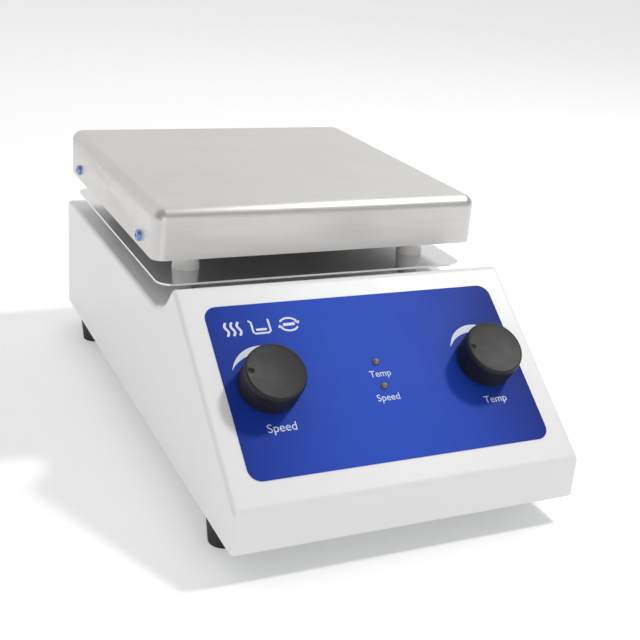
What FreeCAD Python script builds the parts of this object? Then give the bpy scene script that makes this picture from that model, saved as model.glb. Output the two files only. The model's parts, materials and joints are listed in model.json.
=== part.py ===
import FreeCAD, Part
import math
import os
import re

import Sketcher

os.makedirs("parts", exist_ok=True)
document = FreeCAD.newDocument("MagneticStirrer")

# Sizes in millimetres and angles in degrees. The stirring axis is the Z axis, the bench top is
# z = 0, the control panel faces -Y and +X is to the right of someone standing at the panel.
SIZES = {
    # Housing: a low front wall, a sloping control panel, a ridge, then a flat deck.
    "foot_height": 14,
    "housing_width": 169,
    "front_y": -199.5,
    "back_y": 102.3,
    "front_wall_height": 19.4,
    "panel_angle": 36.4,
    "panel_length": 109.2,
    "ridge_back_angle": 46.5,
    "ridge_foot_radius": 30,
    "deck_height": 65,
    "shell_wall": 2.5,
    "shell_bend_radius": 4,
    "shell_side_radius": 2,
    "deck_opening_radius": 20,
    "vent_count": 8,
    "vent_start": 20,
    "vent_pitch": 7,
    "vent_width": 3,
    "vent_length": 24,
    "vent_rise": 38,
    # Corner bosses, feet and floor.
    "boss_size": 10,
    "boss_height": 20,
    "boss_bore_depth": 15,
    "foot_x": 75,
    "foot_inset": 33,
    "foot_top_radius": 8.75,
    "foot_bottom_radius": 7.25,
    "foot_screw_radius": 2,
    "foot_screw_length": 20,
    "foot_recess_depth": 8,
    "foot_screw_head_height": 3,
    "floor_thickness": 1.5,
    "floor_gap": 0.3,
    "floor_vent_columns": 9,
    "floor_vent_pitch": 9,
    "floor_vent_width": 3,
    "floor_vent_length": 40,
    "floor_vent_row": 30,
    # Hot plate: pressed cover, tray below it and the four posts that carry them.
    "plate_side": 172,
    "plate_height": 24.6,
    "plate_corner_radius": 6,
    "plate_edge_radius": 5.5,
    "plate_sheet": 1.2,
    "tray_height": 10,
    "tray_sheet": 1,
    "tray_gap": 0.1,
    "post_spacing": 125,
    "post_height": 11.6,
    "post_foot_radius": 7,
    "post_taper": 4.93,
    "bolt_radius": 2,
    "bolt_hole_radius": 2.3,
    "bolt_length": 40,
    "bolt_head_radius": 3.5,
    "bolt_head_height": 2.6,
    "nut_across_flats": 7,
    "nut_height": 3.2,
    "thread_gap": 0.02,
    "screw_clearance": 0.2,
    "recess_span": 3,
    "recess_width": 0.7,
    "recess_depth": 1.1,
    "cover_screw_radius": 1.5,
    "cover_screw_rise": 5.7,
    "cover_screw_length": 5,
    "cover_screw_head_radius": 2.8,
    "cover_screw_head_height": 1.9,
    # Heat shield and the spacers that lift it off the deck.
    "shield_width": 165,
    "shield_depth": 172,
    "shield_sheet": 1,
    "shield_corner_radius": 8,
    "spacer_height": 10,
    "spacer_radius": 5,
    "shaft_opening_radius": 8,
    "lead_opening_radius": 9,
    "lead_opening_y": 55,
    # Heater pack, clamped up against the underside of the cover.
    "heater_side": 156,
    "heater_thickness": 5,
    "heater_corner_radius": 4,
    "insulation_thickness": 4.5,
    "clamp_sheet_thickness": 1,
    "element_ring_radius": 55,
    "element_radius": 3.2,
    "element_gap_angle": 12,
    "terminal_radius": 1.6,
    "terminal_drop": 11.9,
    "stud_spacing": 90,
    "stud_length": 16,
    "sensor_y": -40,
    "sensor_radius": 2.5,
    "sensor_reach": 8.5,
    "sensor_seat_depth": 3,
    "sensor_hexagon": 10,
    "sensor_hexagon_height": 4,
    # Motor, its carrier plate and the turning magnet bar.
    "carrier_side": 150,
    "carrier_sheet": 2,
    "carrier_corner_radius": 5,
    "motor_radius": 31,
    "motor_height": 40,
    "motor_wall": 2,
    "motor_top": 8,
    "end_cap_thickness": 4,
    "bearing_radius": 9.5,
    "bearing_width": 6,
    "shaft_radius": 3,
    "shaft_length": 71.6,
    "running_gap": 0.03,
    "stator_rise": 12,
    "stator_height": 16,
    "stator_ring": 4,
    "tooth_width": 6,
    "tooth_length": 6,
    "coil_wall": 2,
    "stator_slots": 6,
    "rotor_radius": 18,
    "motor_screw_circle": 16,
    "motor_screw_radius": 1.5,
    "motor_screw_length": 8,
    "motor_screw_head_height": 2,
    "motor_screw_bore_depth": 6.5,
    "bar_screw_length": 6,
    "magnet_bar_length": 64,
    "magnet_bar_width": 22,
    "magnet_bar_height": 8,
    "magnet_radius": 7,
    "magnet_height": 6,
    "magnet_offset": 22,
    "magnet_bar_clearance": 1.5,
    # Control panel: label, knobs, potentiometers and lamps.
    "label_width": 147.6,
    "label_top": 12.1,
    "label_bottom": 96.9,
    "label_corner_radius": 6,
    "label_film": 0.3,
    "knob_spacing": 109,
    "knob_v": 54.6,
    "knob_radius": 14,
    "knob_gap": 1.5,
    "knob_height": 13.1,
    "knob_rim_chamfer": 0.8,
    "knob_skirt_depth": 4,
    "knob_skirt_radius": 7.5,
    "knob_bore_depth": 12,
    "knob_grooves": 48,
    "knob_groove_radius": 0.45,
    "dimple_radius": 1,
    "dimple_depth": 0.6,
    "dimple_offset": 11.2,
    "dimple_angle": 172,
    "pot_side": 16,
    "pot_depth": 8,
    "pot_bushing_radius": 3.5,
    "pot_bushing_height": 4.5,
    "pot_shaft_top": 13,
    "pot_shaft_bottom": 8,
    "wiper_radius": 6,
    "wiper_thickness": 1.5,
    "pot_nut_across_flats": 10,
    "pot_nut_height": 2,
    "lamp_radius": 1.5,
    "lamp_flange_radius": 1.9,
    "lamp_rise": 1.2,
    "lamp_leg_radius": 0.25,
    "temp_lamp_v": 48.2,
    "speed_lamp_v": 60.7,
    "board_thickness": 1.6,
    "control_board_width": 136,
    "control_board_top": 30,
    "control_board_bottom": 86,
    # Mains inlet in the back wall, with its fuse drawer.
    "inlet_x": -45,
    "inlet_rise": 31,
    "inlet_width": 27,
    "inlet_body_height": 30,
    "inlet_depth": 20,
    "inlet_flange_width": 50,
    "inlet_flange_height": 32,
    "inlet_flange": 2.5,
    "socket_width": 22.5,
    "socket_height": 15.5,
    "socket_rise": 4.8,
    "socket_depth": 17,
    "contact_width": 4,
    "contact_thickness": 2,
    "contact_length": 27,
    "contact_spacing": 7,
    "drawer_width": 22,
    "drawer_height": 8,
    "drawer_length": 20,
    "drawer_drop": 9,
    "drawer_gap": 0.2,
    "fuse_radius": 2.5,
    "fuse_length": 20,
    "inlet_screw_spacing": 40,
    "inlet_screw_radius": 1.5,
    "inlet_screw_length": 10,
    "inlet_screw_head_radius": 2.8,
    "inlet_screw_head_height": 1.9,
    "inlet_nut_across_flats": 5.5,
    "inlet_nut_height": 2.4,
    # Power board on the floor.
    "power_board_width": 110,
    "power_board_depth": 80,
    "power_board_y": -110,
    "standoff_height": 6,
    "standoff_radius": 3,
    "standoff_inset": 6,
    "transformer_x": -25,
    "transformer_y": -105,
    "core_width": 44,
    "core_depth": 24,
    "core_height": 28,
    "core_rise": 4,
    "winding_width": 30,
    "winding_depth": 38,
    "winding_height": 26,
    "sink_x": 30,
    "sink_y": -120,
    "sink_width": 40,
    "sink_wall": 4,
    "sink_height": 25,
    "sink_fins": 6,
    "sink_fin": 2,
    "sink_depth": 16,
    "triac_width": 10,
    "triac_thickness": 4,
    "triac_height": 16,
    "triac_leg_length": 4,
    "triac_leg_radius": 0.5,
    "triac_leg_spacing": 2.5,
    "block_y": -79,
    "block_length": 64,
    "block_depth": 10,
    "block_height": 12,
    "capacitor_x": -12,
    "capacitor_y": -138,
    "capacitor_radius": 5,
    "capacitor_spacing": 14,
    "capacitor_height": 16,
    "cable_width": 20,
    "cable_thickness": 1.2,
    "wire_radius": 1.2,
}

sheet = document.addObject("Spreadsheet::Sheet", "Sizes")
for row, (size_name, size_number) in enumerate(SIZES.items(), start=1):
    sheet.set("A%d" % row, size_name)
    sheet.set("B%d" % row, str(size_number))
    sheet.setAlias("B%d" % row, size_name)
document.recompute()

# Levels and distances that follow from the driving sizes.
FLOOR_TOP = "(foot_height + floor_thickness)"
FACE_TOP = "(foot_height + front_wall_height)"
DECK_TOP = "(foot_height + deck_height)"
RIDGE_Y = "(front_y + panel_length * cos(panel_angle))"
RIDGE_Z = f"({FACE_TOP} + panel_length * sin(panel_angle))"
RIDGE_BACK_Y = f"({RIDGE_Y} + ({RIDGE_Z} - {DECK_TOP}) / tan(ridge_back_angle))"
CEILING = f"({DECK_TOP} - shell_wall)"
CARRIER_BOTTOM = f"({CEILING} - carrier_sheet)"
SHIELD_BOTTOM = f"({DECK_TOP} + spacer_height)"
SHIELD_TOP = f"({SHIELD_BOTTOM} + shield_sheet)"
RIM = f"({SHIELD_TOP} + post_height)"
PLATE_TOP = f"({RIM} + plate_height)"
HEATER_BOTTOM = f"({PLATE_TOP} - plate_sheet - heater_thickness)"
INSULATION_BOTTOM = f"({HEATER_BOTTOM} - insulation_thickness)"
CLAMP_BOTTOM = f"({INSULATION_BOTTOM} - clamp_sheet_thickness)"
MOTOR_BOTTOM = f"({CARRIER_BOTTOM} - motor_height)"
MAGNET_BAR_BOTTOM = f"({RIM} + tray_sheet + magnet_bar_clearance)"
BOARD_TOP = f"({FLOOR_TOP} + standoff_height + board_thickness)"
INLET_Z = "(foot_height + inlet_rise)"

POST_SPOTS = [(f"{x} * post_spacing / 2", f"{y} * post_spacing / 2") for x in (-1, 1) for y in (-1, 1)]
STUD_SPOTS = [(f"{x} * stud_spacing / 2", f"{y} * stud_spacing / 2") for x in (-1, 1) for y in (-1, 1)]
FOOT_SPOTS = [(f"{x} * foot_x", y) for x in (-1, 1) for y in ("front_y + foot_inset", "back_y - foot_inset")]
STANDOFF_SPOTS = [
    (f"{x} * (power_board_width / 2 - standoff_inset)",
     f"power_board_y + {y} * (power_board_depth / 2 - standoff_inset)")
    for x in (-1, 1) for y in (-1, 1)
]
LEAD_SPOT = ("0", "lead_opening_y")
CENTRE = ("0", "0")


# ---------------------------------------------------------------------------------------------
# Expressions, sketches and features
# ---------------------------------------------------------------------------------------------

def linked(text):
    """The expression with every size name pointing at its cell in the sheet."""
    def link(match):
        word = match.group(0)
        return "Sizes." + word if word in SIZES else word
    return re.sub(r"[A-Za-z_]\w*", link, text)


def value(text):
    """The number an expression gives for the present sizes."""
    result = sheet.evalExpression(linked(text))
    return float(getattr(result, "Value", result))


def bind(item, prop, text):
    item.setExpression(prop, linked(text))


def new_body(name):
    body = document.addObject("PartDesign::Body", name)
    body.Label = name
    body.AllowCompound = True
    return body


def stand_at(item, x="0", y="0", z="0"):
    """Bind the position of a piece in the frame of the whole stirrer."""
    bind(item, "Placement.Base.x", x)
    bind(item, "Placement.Base.y", y)
    bind(item, "Placement.Base.z", z)


def lay_on_panel(item, prop, across="0", down="0", rise="0"):
    """Tilt a placement onto the control panel: +Y runs up the slope and +Z stands out of it."""
    tilt = FreeCAD.Rotation(FreeCAD.Vector(1, 0, 0), value("panel_angle"))
    setattr(item, prop, FreeCAD.Placement(FreeCAD.Vector(), tilt))
    bind(item, prop + ".Rotation.Angle", "panel_angle")
    bind(item, prop + ".Base.x", across)
    bind(item, prop + ".Base.y", f"{RIDGE_Y} - ({down}) * cos(panel_angle) - ({rise}) * sin(panel_angle)")
    bind(item, prop + ".Base.z", f"{RIDGE_Z} - ({down}) * sin(panel_angle) + ({rise}) * cos(panel_angle)")


def new_sketch(body, name, plane="XY", offset="0"):
    sketch = body.newObject("Sketcher::SketchObject", body.Name + "_" + name)
    for feature in body.Origin.OriginFeatures:
        if feature.Role == plane + "_Plane":
            sketch.AttachmentSupport = [(feature, "")]
    sketch.MapMode = "FlatFace"
    bind(sketch, "AttachmentOffset.Base.z", offset)
    return sketch


def fix(sketch, kind, geometry, point, text):
    """Constrain one coordinate of a point to an expression, measured from the sketch origin."""
    index = sketch.addConstraint(Sketcher.Constraint(kind, -1, 1, geometry, point, value(text)))
    bind(sketch, "Constraints[%d]" % index, text)


def draw_outline(sketch, corners):
    """Closed outline of straight lines through corners given as pairs of expressions."""
    points = [FreeCAD.Vector(value(x), value(y), 0) for x, y in corners]
    count = len(points)
    first = sketch.GeometryCount
    for index in range(count):
        sketch.addGeometry(Part.LineSegment(points[index], points[(index + 1) % count]), False)
    for index in range(count):
        following = first + (index + 1) % count
        sketch.addConstraint(Sketcher.Constraint("Coincident", first + index, 2, following, 1))
    for index, (x, y) in enumerate(corners):
        fix(sketch, "DistanceX", first + index, 1, x)
        fix(sketch, "DistanceY", first + index, 1, y)


def draw_rectangle(sketch, left, right, bottom, top):
    draw_outline(sketch, [(left, bottom), (right, bottom), (right, top), (left, top)])


def draw_block(sketch, width, depth, x="0", y="0"):
    """Rectangle of a given size centred on a point."""
    draw_rectangle(sketch, f"{x} - ({width}) / 2", f"{x} + ({width}) / 2",
                   f"{y} - ({depth}) / 2", f"{y} + ({depth}) / 2")


def draw_circles(sketch, spots, radius):
    for x, y in spots:
        centre = FreeCAD.Vector(value(x), value(y), 0)
        circle = Part.Circle(centre, FreeCAD.Vector(0, 0, 1), value(radius))
        index = sketch.addGeometry(circle, False)
        constraint = sketch.addConstraint(Sketcher.Constraint("Radius", index, value(radius)))
        bind(sketch, "Constraints[%d]" % constraint, radius)
        fix(sketch, "DistanceX", index, 3, x)
        fix(sketch, "DistanceY", index, 3, y)


def draw_hexagon(sketch, x, y, across_flats):
    corner = f"({across_flats}) / (2 * cos(30))"
    draw_outline(sketch, [
        (f"({x}) + {corner} * cos({turn})", f"({y}) + {corner} * sin({turn})")
        for turn in range(0, 360, 60)
    ])


def draw_cross(sketch, x, y, span, width):
    """Plus-shaped outline of a driver recess."""
    s = f"({span}) / 2"
    w = f"({width}) / 2"
    arms = [(s, w), (w, w), (w, s)]
    corners = []
    for sx, sy, order in ((1, 1, 1), (-1, 1, -1), (-1, -1, 1), (1, -1, -1)):
        for dx, dy in arms[::order]:
            corners.append((f"({x}) + {sx} * {dx}", f"({y}) + {sy} * {dy}"))
    draw_outline(sketch, corners)


def pad(body, sketch, length, reverse=False, middle=False, taper=None):
    feature = body.newObject("PartDesign::Pad", sketch.Name + "_pad")
    feature.Profile = sketch
    feature.Reversed = reverse
    feature.Midplane = middle
    bind(feature, "Length", length)
    if taper is not None:
        bind(feature, "TaperAngle", taper)
    return feature


def cut(body, make_feature):
    """Add a feature that takes material away, and make sure that it does."""
    document.recompute()
    before = body.Shape.Volume
    feature = make_feature()
    document.recompute()
    if not body.Shape.Volume < before - 1e-3:
        raise RuntimeError("nothing was cut by " + feature.Name)
    return feature


def pocket(body, sketch, depth=None, reverse=False, middle=False):
    """Cut downwards from the sketch, or upwards when reversed; right through with no depth."""
    def make():
        feature = body.newObject("PartDesign::Pocket", sketch.Name + "_pocket")
        feature.Profile = sketch
        feature.Reversed = reverse
        feature.Midplane = middle
        if depth is None:
            feature.Type = "ThroughAll"
        else:
            bind(feature, "Length", depth)
        return feature
    return cut(body, make)


def turn(body, sketch):
    """Revolve a half profile about the vertical axis of its sketch."""
    feature = body.newObject("PartDesign::Revolution", sketch.Name + "_turned")
    feature.Profile = sketch
    feature.ReferenceAxis = (sketch, ["V_Axis"])
    feature.Angle = 360
    return feature


def dress_edges(body, kind, radius, chosen):
    """Fillet or chamfer every edge of the body that the test picks out."""
    document.recompute()
    base = body.Tip
    names = []
    for index, edge in enumerate(base.Shape.Edges, start=1):
        if chosen(edge):
            names.append("Edge%d" % index)
    feature = body.newObject("PartDesign::" + kind, base.Name + "_" + kind.lower())
    feature.Base = (base, names)
    bind(feature, "Radius" if kind == "Fillet" else "Size", radius)
    document.recompute()
    return feature


def fillet(body, radius, chosen):
    return dress_edges(body, "Fillet", radius, chosen)


def is_upright(edge):
    box = edge.BoundBox
    return box.ZLength > 1e-3 and box.XLength < 1e-3 and box.YLength < 1e-3


def lies_at(level):
    """Test for edges that lie wholly at one height."""
    def chosen(edge):
        box = edge.BoundBox
        return abs(box.ZMin - level) < 1e-3 and abs(box.ZMax - level) < 1e-3
    return chosen


def add_pegs(body, name, spots, radius, low, height):
    """Round pegs standing at several spots, from one level up."""
    sketch = new_sketch(body, name, offset=low)
    draw_circles(sketch, spots, radius)
    return pad(body, sketch, height)


def drill(body, name, spots, radius, plane="XY"):
    """Round holes at several spots, right through the body both ways."""
    sketch = new_sketch(body, name, plane)
    draw_circles(sketch, spots, radius)
    def make():
        feature = body.newObject("PartDesign::Pocket", sketch.Name + "_drilled")
        feature.Profile = sketch
        feature.Type = "ThroughAll"
        feature.Midplane = True
        return feature
    return cut(body, make)


def add_block(body, name, width, depth, low, height, x="0", y="0"):
    sketch = new_sketch(body, name, offset=low)
    draw_block(sketch, width, depth, x, y)
    return pad(body, sketch, height)


def cut_round(body, name, spots, radius, low, height):
    sketch = new_sketch(body, name, offset=low)
    draw_circles(sketch, spots, radius)
    return pocket(body, sketch, height, reverse=True)


# ---------------------------------------------------------------------------------------------
# Housing, floor and feet
# ---------------------------------------------------------------------------------------------

def make_housing_shell():
    body = new_body("housing_shell")
    outside = new_sketch(body, "outside", "YZ")
    draw_outline(outside, [
        ("front_y", "foot_height"),
        ("back_y", "foot_height"),
        ("back_y", DECK_TOP),
        (RIDGE_BACK_Y, DECK_TOP),
        (RIDGE_Y, RIDGE_Z),
        ("front_y", FACE_TOP),
    ])
    pad(body, outside, "housing_width", middle=True)

    half_width = value("housing_width / 2")
    bottom = value("foot_height")

    def crosses_at(y, z):
        """Test for edges that run across the housing at one point of its profile."""
        def chosen(edge):
            box = edge.BoundBox
            return box.XLength > half_width and abs(box.YMin - y) < 1e-3 and abs(box.ZMin - z) < 1e-3
        return chosen
    at_ridge_foot = crosses_at(value(RIDGE_BACK_Y), value(DECK_TOP))

    def is_above_the_bottom(edge):
        return edge.BoundBox.ZMax > bottom + 1e-3

    def is_bend(edge):
        crosses = edge.BoundBox.XLength > half_width
        return crosses and is_above_the_bottom(edge) and not at_ridge_foot(edge)
    fillet(body, "shell_bend_radius", is_bend)
    fillet(body, "ridge_foot_radius", at_ridge_foot)

    def is_side_edge(edge):
        return is_above_the_bottom(edge) and edge.BoundBox.XLength < 1e-3
    fillet(body, "shell_side_radius", is_side_edge)

    # The hollow follows the outside one wall thickness further in.
    steep = f"({RIDGE_Z} - shell_wall * (sin(panel_angle) + sin(ridge_back_angle))" \
            " / sin(panel_angle + ridge_back_angle))"
    apex_y = f"({RIDGE_Y} + shell_wall * (cos(ridge_back_angle) - cos(panel_angle))" \
             " / sin(panel_angle + ridge_back_angle))"
    hollow_foot_y = f"({RIDGE_BACK_Y} - shell_wall * (1 - cos(ridge_back_angle)) / sin(ridge_back_angle))"
    hollow = new_sketch(body, "hollow", "YZ")
    draw_outline(hollow, [
        ("front_y + shell_wall", "foot_height - 1"),
        ("back_y - shell_wall", "foot_height - 1"),
        ("back_y - shell_wall", CEILING),
        (hollow_foot_y, CEILING),
        (apex_y, steep),
        ("front_y + shell_wall", f"{FACE_TOP} - shell_wall * (1 - sin(panel_angle)) / cos(panel_angle)"),
    ])
    pocket(body, hollow, "housing_width - 2 * shell_wall", middle=True)
    fillet(body, "ridge_foot_radius + shell_wall", crosses_at(value(hollow_foot_y), value(CEILING)))

    bosses = new_sketch(body, "bosses", offset=FLOOR_TOP)
    for side in (-1, 1):
        for y in ("(front_y + foot_inset)", "(back_y - foot_inset)"):
            wall_x = f"{side} * (housing_width / 2 - shell_wall / 2)"
            inner_x = f"{side} * (housing_width / 2 - shell_wall - boss_size)"
            left, right = (wall_x, inner_x) if side < 0 else (inner_x, wall_x)
            draw_rectangle(bosses, left, right, f"{y} - boss_size / 2", f"{y} + boss_size / 2")
    pad(body, bosses, "boss_height")
    cut_round(body, "boss_bores", FOOT_SPOTS, "foot_screw_radius + thread_gap", FLOOR_TOP, "boss_bore_depth")

    deck_holes = [
        (POST_SPOTS, "bolt_hole_radius"),
        ([CENTRE], "deck_opening_radius"),
        ([LEAD_SPOT], "lead_opening_radius - 1"),
    ]
    for index, (spots, radius) in enumerate(deck_holes):
        cut_round(body, "deck_hole%d" % index, spots, radius, f"{CEILING} - 5", "shell_wall + 10")

    panel_holes = [
        (knob_spots(), "pot_bushing_radius + 0.1"),
        (lamp_spots(), "lamp_radius + 0.1"),
    ]
    for index, (spots, radius) in enumerate(panel_holes):
        sketch = new_sketch(body, "panel_hole%d" % index)
        lay_on_panel(sketch, "AttachmentOffset", rise="1")
        draw_circles(sketch, spots, radius)
        pocket(body, sketch, "shell_wall + 3")

    back_holes = new_sketch(body, "back_holes", "XZ", offset="-back_y - 1")
    draw_block(back_holes, "inlet_width + 0.4", "inlet_body_height + 0.4", "inlet_x", INLET_Z)
    draw_circles(back_holes, [(f"inlet_x + {side} * inlet_screw_spacing / 2", INLET_Z) for side in (-1, 1)],
                 "inlet_screw_radius + screw_clearance")
    for slot in range(int(value("vent_count"))):
        draw_block(back_holes, "vent_width", "vent_length", f"(vent_start + {slot} * vent_pitch)",
                   "(foot_height + vent_rise)")
    pocket(body, back_holes, "shell_wall + 3", reverse=True)
    return body


def make_base_plate():
    body = new_body("base_plate")
    sketch = new_sketch(body, "sheet")
    draw_rectangle(sketch, "-housing_width / 2 + shell_wall + floor_gap",
                   "housing_width / 2 - shell_wall - floor_gap",
                   "front_y + shell_wall + floor_gap", "back_y - shell_wall - floor_gap")
    pad(body, sketch, "floor_thickness")
    slots = new_sketch(body, "vents")
    for column in range(int(value("floor_vent_columns"))):
        middle_x = f"({column} - (floor_vent_columns - 1) / 2) * floor_vent_pitch"
        for middle_y in ("(-floor_vent_row)", "floor_vent_row"):
            draw_block(slots, "floor_vent_width", "floor_vent_length", f"({middle_x})", middle_y)
    pocket(body, slots, "floor_thickness", reverse=True)
    drill(body, "foot_holes", FOOT_SPOTS, "foot_screw_radius + screw_clearance")
    stand_at(body, z="foot_height")
    return body


def make_rubber_feet():
    body = new_body("rubber_feet")
    sketch = new_sketch(body, "soles")
    draw_circles(sketch, FOOT_SPOTS, "foot_bottom_radius")
    pad(body, sketch, "foot_height", taper="atan((foot_top_radius - foot_bottom_radius) / foot_height)")
    cut_round(body, "recesses", FOOT_SPOTS, "foot_top_radius / 2 + 0.1", "0", "foot_recess_depth")
    cut_round(body, "bores", FOOT_SPOTS, "foot_screw_radius + screw_clearance", "0", "foot_height")
    return body


def make_foot_screws():
    body = new_body("foot_screws")
    add_pegs(body, "shanks", FOOT_SPOTS, "foot_screw_radius", "0", "foot_screw_length")
    add_pegs(body, "heads", FOOT_SPOTS, "foot_screw_radius * 2", "-foot_screw_head_height",
             "foot_screw_head_height")
    fillet(body, "foot_screw_head_height / 3", lies_at(value("-foot_screw_head_height")))
    stand_at(body, z="foot_recess_depth")
    return body


# ---------------------------------------------------------------------------------------------
# Hot plate, heater pack and its posts
# ---------------------------------------------------------------------------------------------

def make_plate_cover():
    body = new_body("plate_cover")
    add_block(body, "block", "plate_side", "plate_side", "0", "plate_height")
    fillet(body, "plate_corner_radius", is_upright)
    top = value("plate_height")
    fillet(body, "plate_edge_radius", lies_at(top))
    solid = body.Tip
    bottom_face = ""
    for index, face in enumerate(solid.Shape.Faces, start=1):
        if face.BoundBox.ZMax < 1e-3:
            bottom_face = "Face%d" % index
    hollow = body.newObject("PartDesign::Thickness", "plate_cover_sheet")
    hollow.Base = (solid, [bottom_face])
    hollow.Reversed = True
    bind(hollow, "Value", "plate_sheet")
    document.recompute()
    drill(body, "side_holes", [(f"{y} * post_spacing / 2", "cover_screw_rise") for y in (-1, 1)],
          "cover_screw_radius + screw_clearance", "YZ")
    stand_at(body, z=RIM)
    return body


def make_cover_screws():
    body = new_body("cover_screws")
    spots = [(f"{y} * post_spacing / 2", "0") for y in (-1, 1)]
    for side, name in ((-1, "left"), (1, "right")):
        wall = f"{side} * plate_side / 2"
        shank = new_sketch(body, name + "_shank", "YZ", offset=wall)
        draw_circles(shank, spots, "cover_screw_radius")
        pad(body, shank, "cover_screw_length", reverse=side > 0)
        head = new_sketch(body, name + "_head", "YZ", offset=wall)
        draw_circles(head, spots, "cover_screw_head_radius")
        pad(body, head, "cover_screw_head_height", reverse=side < 0)
    outer = value("plate_side / 2 + cover_screw_head_height")
    fillet(body, "cover_screw_head_height / 2", lambda edge: abs(abs(edge.BoundBox.XMin) - outer) < 1e-3
           and edge.BoundBox.XLength < 1e-3)
    for side, name in ((-1, "left"), (1, "right")):
        recess = new_sketch(body, name + "_recess", "YZ",
                            offset=f"{side} * (plate_side / 2 + cover_screw_head_height)")
        for y, z in spots:
            draw_cross(recess, y, z, "recess_span", "recess_width")
        pocket(body, recess, "recess_depth", reverse=side < 0)
    stand_at(body, z=f"{RIM} + cover_screw_rise")
    return body


def make_heater_tray():
    body = new_body("heater_tray")
    outer = "(plate_side - 2 * plate_sheet - 2 * tray_gap)"
    add_block(body, "block", outer, outer, "0", "tray_height")
    fillet(body, "plate_corner_radius - plate_sheet", is_upright)
    solid = body.Tip
    top = value("tray_height")
    open_face = ""
    for index, face in enumerate(solid.Shape.Faces, start=1):
        if face.BoundBox.ZMin > top - 1e-3:
            open_face = "Face%d" % index
    hollow = body.newObject("PartDesign::Thickness", "heater_tray_sheet")
    hollow.Base = (solid, [open_face])
    hollow.Reversed = True
    bind(hollow, "Value", "tray_sheet")
    document.recompute()
    drill(body, "side_holes", [(f"{y} * post_spacing / 2", "cover_screw_rise") for y in (-1, 1)],
          "cover_screw_radius + thread_gap", "YZ")
    drill(body, "post_holes", POST_SPOTS, "bolt_hole_radius")
    drill(body, "shaft_hole", [CENTRE], "shaft_opening_radius")
    drill(body, "lead_hole", [LEAD_SPOT], "lead_opening_radius")
    stand_at(body, z=RIM)
    return body


def make_ceramic_posts():
    body = new_body("ceramic_posts")
    sketch = new_sketch(body, "feet")
    draw_circles(sketch, POST_SPOTS, "post_foot_radius")
    pad(body, sketch, "post_height", taper="-post_taper")
    fillet(body, "0.6", lies_at(value("post_height")))
    cut_round(body, "bores", POST_SPOTS, "bolt_hole_radius", "0", "post_height")
    stand_at(body, z=SHIELD_TOP)
    return body


def make_heat_shield():
    body = new_body("heat_shield")
    add_block(body, "sheet", "shield_width", "shield_depth", "0", "shield_sheet")
    fillet(body, "shield_corner_radius", is_upright)
    drill(body, "post_holes", POST_SPOTS, "bolt_hole_radius")
    drill(body, "shaft_hole", [CENTRE], "shaft_opening_radius")
    drill(body, "lead_hole", [LEAD_SPOT], "lead_opening_radius")
    stand_at(body, z=SHIELD_BOTTOM)
    return body


def make_shield_spacers():
    body = new_body("shield_spacers")
    add_pegs(body, "tubes", POST_SPOTS, "spacer_radius", "0", "spacer_height")
    cut_round(body, "bores", POST_SPOTS, "bolt_hole_radius", "0", "spacer_height")
    stand_at(body, z=DECK_TOP)
    return body


def make_post_bolts():
    body = new_body("post_bolts")
    add_pegs(body, "shanks", POST_SPOTS, "bolt_radius", "-bolt_length", "bolt_length")
    add_pegs(body, "heads", POST_SPOTS, "bolt_head_radius", "0", "bolt_head_height")
    fillet(body, "bolt_head_height / 3", lies_at(value("bolt_head_height")))
    stand_at(body, z=f"{RIM} + tray_sheet")
    return body


def make_nuts(name, spots, top):
    """Hexagon nuts with their upper faces at one level."""
    body = new_body(name)
    sketch = new_sketch(body, "hexagons")
    for x, y in spots:
        draw_hexagon(sketch, x, y, "nut_across_flats")
    pad(body, sketch, "nut_height", reverse=True)
    drill(body, "threads", spots, "bolt_radius + thread_gap")
    stand_at(body, z=top)
    return body


def make_cover_studs():
    body = new_body("cover_studs")
    add_pegs(body, "studs", STUD_SPOTS, "bolt_radius", "-stud_length", "stud_length")
    stand_at(body, z=f"{PLATE_TOP} - plate_sheet")
    return body


def element_terminals():
    """The two ends of the element ring, either side of the back of the plate."""
    return [
        (f"element_ring_radius * cos(90 + {side} * element_gap_angle / 2)",
         f"element_ring_radius * sin(90 + {side} * element_gap_angle / 2)")
        for side in (-1, 1)
    ]


def cut_element_groove(body, level):
    sketch = new_sketch(body, "groove", "XZ")
    draw_circles(sketch, [("element_ring_radius", level)], "element_radius")
    def make():
        feature = body.newObject("PartDesign::Groove", body.Name + "_groove_turned")
        feature.Profile = sketch
        feature.ReferenceAxis = (sketch, ["V_Axis"])
        feature.Angle = 360
        return feature
    cut(body, make)


def make_heater_plate():
    body = new_body("heater_plate")
    add_block(body, "block", "heater_side", "heater_side", "0", "heater_thickness")
    fillet(body, "heater_corner_radius", is_upright)
    cut_element_groove(body, "0")
    drill(body, "stud_holes", STUD_SPOTS, "bolt_radius + screw_clearance")
    cut_round(body, "sensor_seat", [("0", "sensor_y")], "sensor_radius + 0.05", "0", "sensor_seat_depth")
    stand_at(body, z=HEATER_BOTTOM)
    return body


def make_insulation_pad():
    body = new_body("insulation_pad")
    add_block(body, "block", "heater_side", "heater_side", "0", "insulation_thickness")
    fillet(body, "heater_corner_radius", is_upright)
    cut_element_groove(body, "insulation_thickness")
    drill(body, "stud_holes", STUD_SPOTS, "bolt_radius + screw_clearance")
    drill(body, "sensor_hole", [("0", "sensor_y")], "sensor_radius + 0.1")
    drill(body, "terminal_holes", element_terminals(), "terminal_radius + 0.4")
    stand_at(body, z=INSULATION_BOTTOM)
    return body


def make_clamp_sheet():
    body = new_body("clamp_sheet")
    add_block(body, "sheet", "heater_side", "heater_side", "0", "clamp_sheet_thickness")
    fillet(body, "heater_corner_radius", is_upright)
    drill(body, "stud_holes", STUD_SPOTS, "bolt_radius + screw_clearance")
    drill(body, "sensor_hole", [("0", "sensor_y")], "sensor_radius + 0.1")
    drill(body, "terminal_holes", element_terminals(), "terminal_radius + 1.4")
    stand_at(body, z=CLAMP_BOTTOM)
    return body


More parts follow.
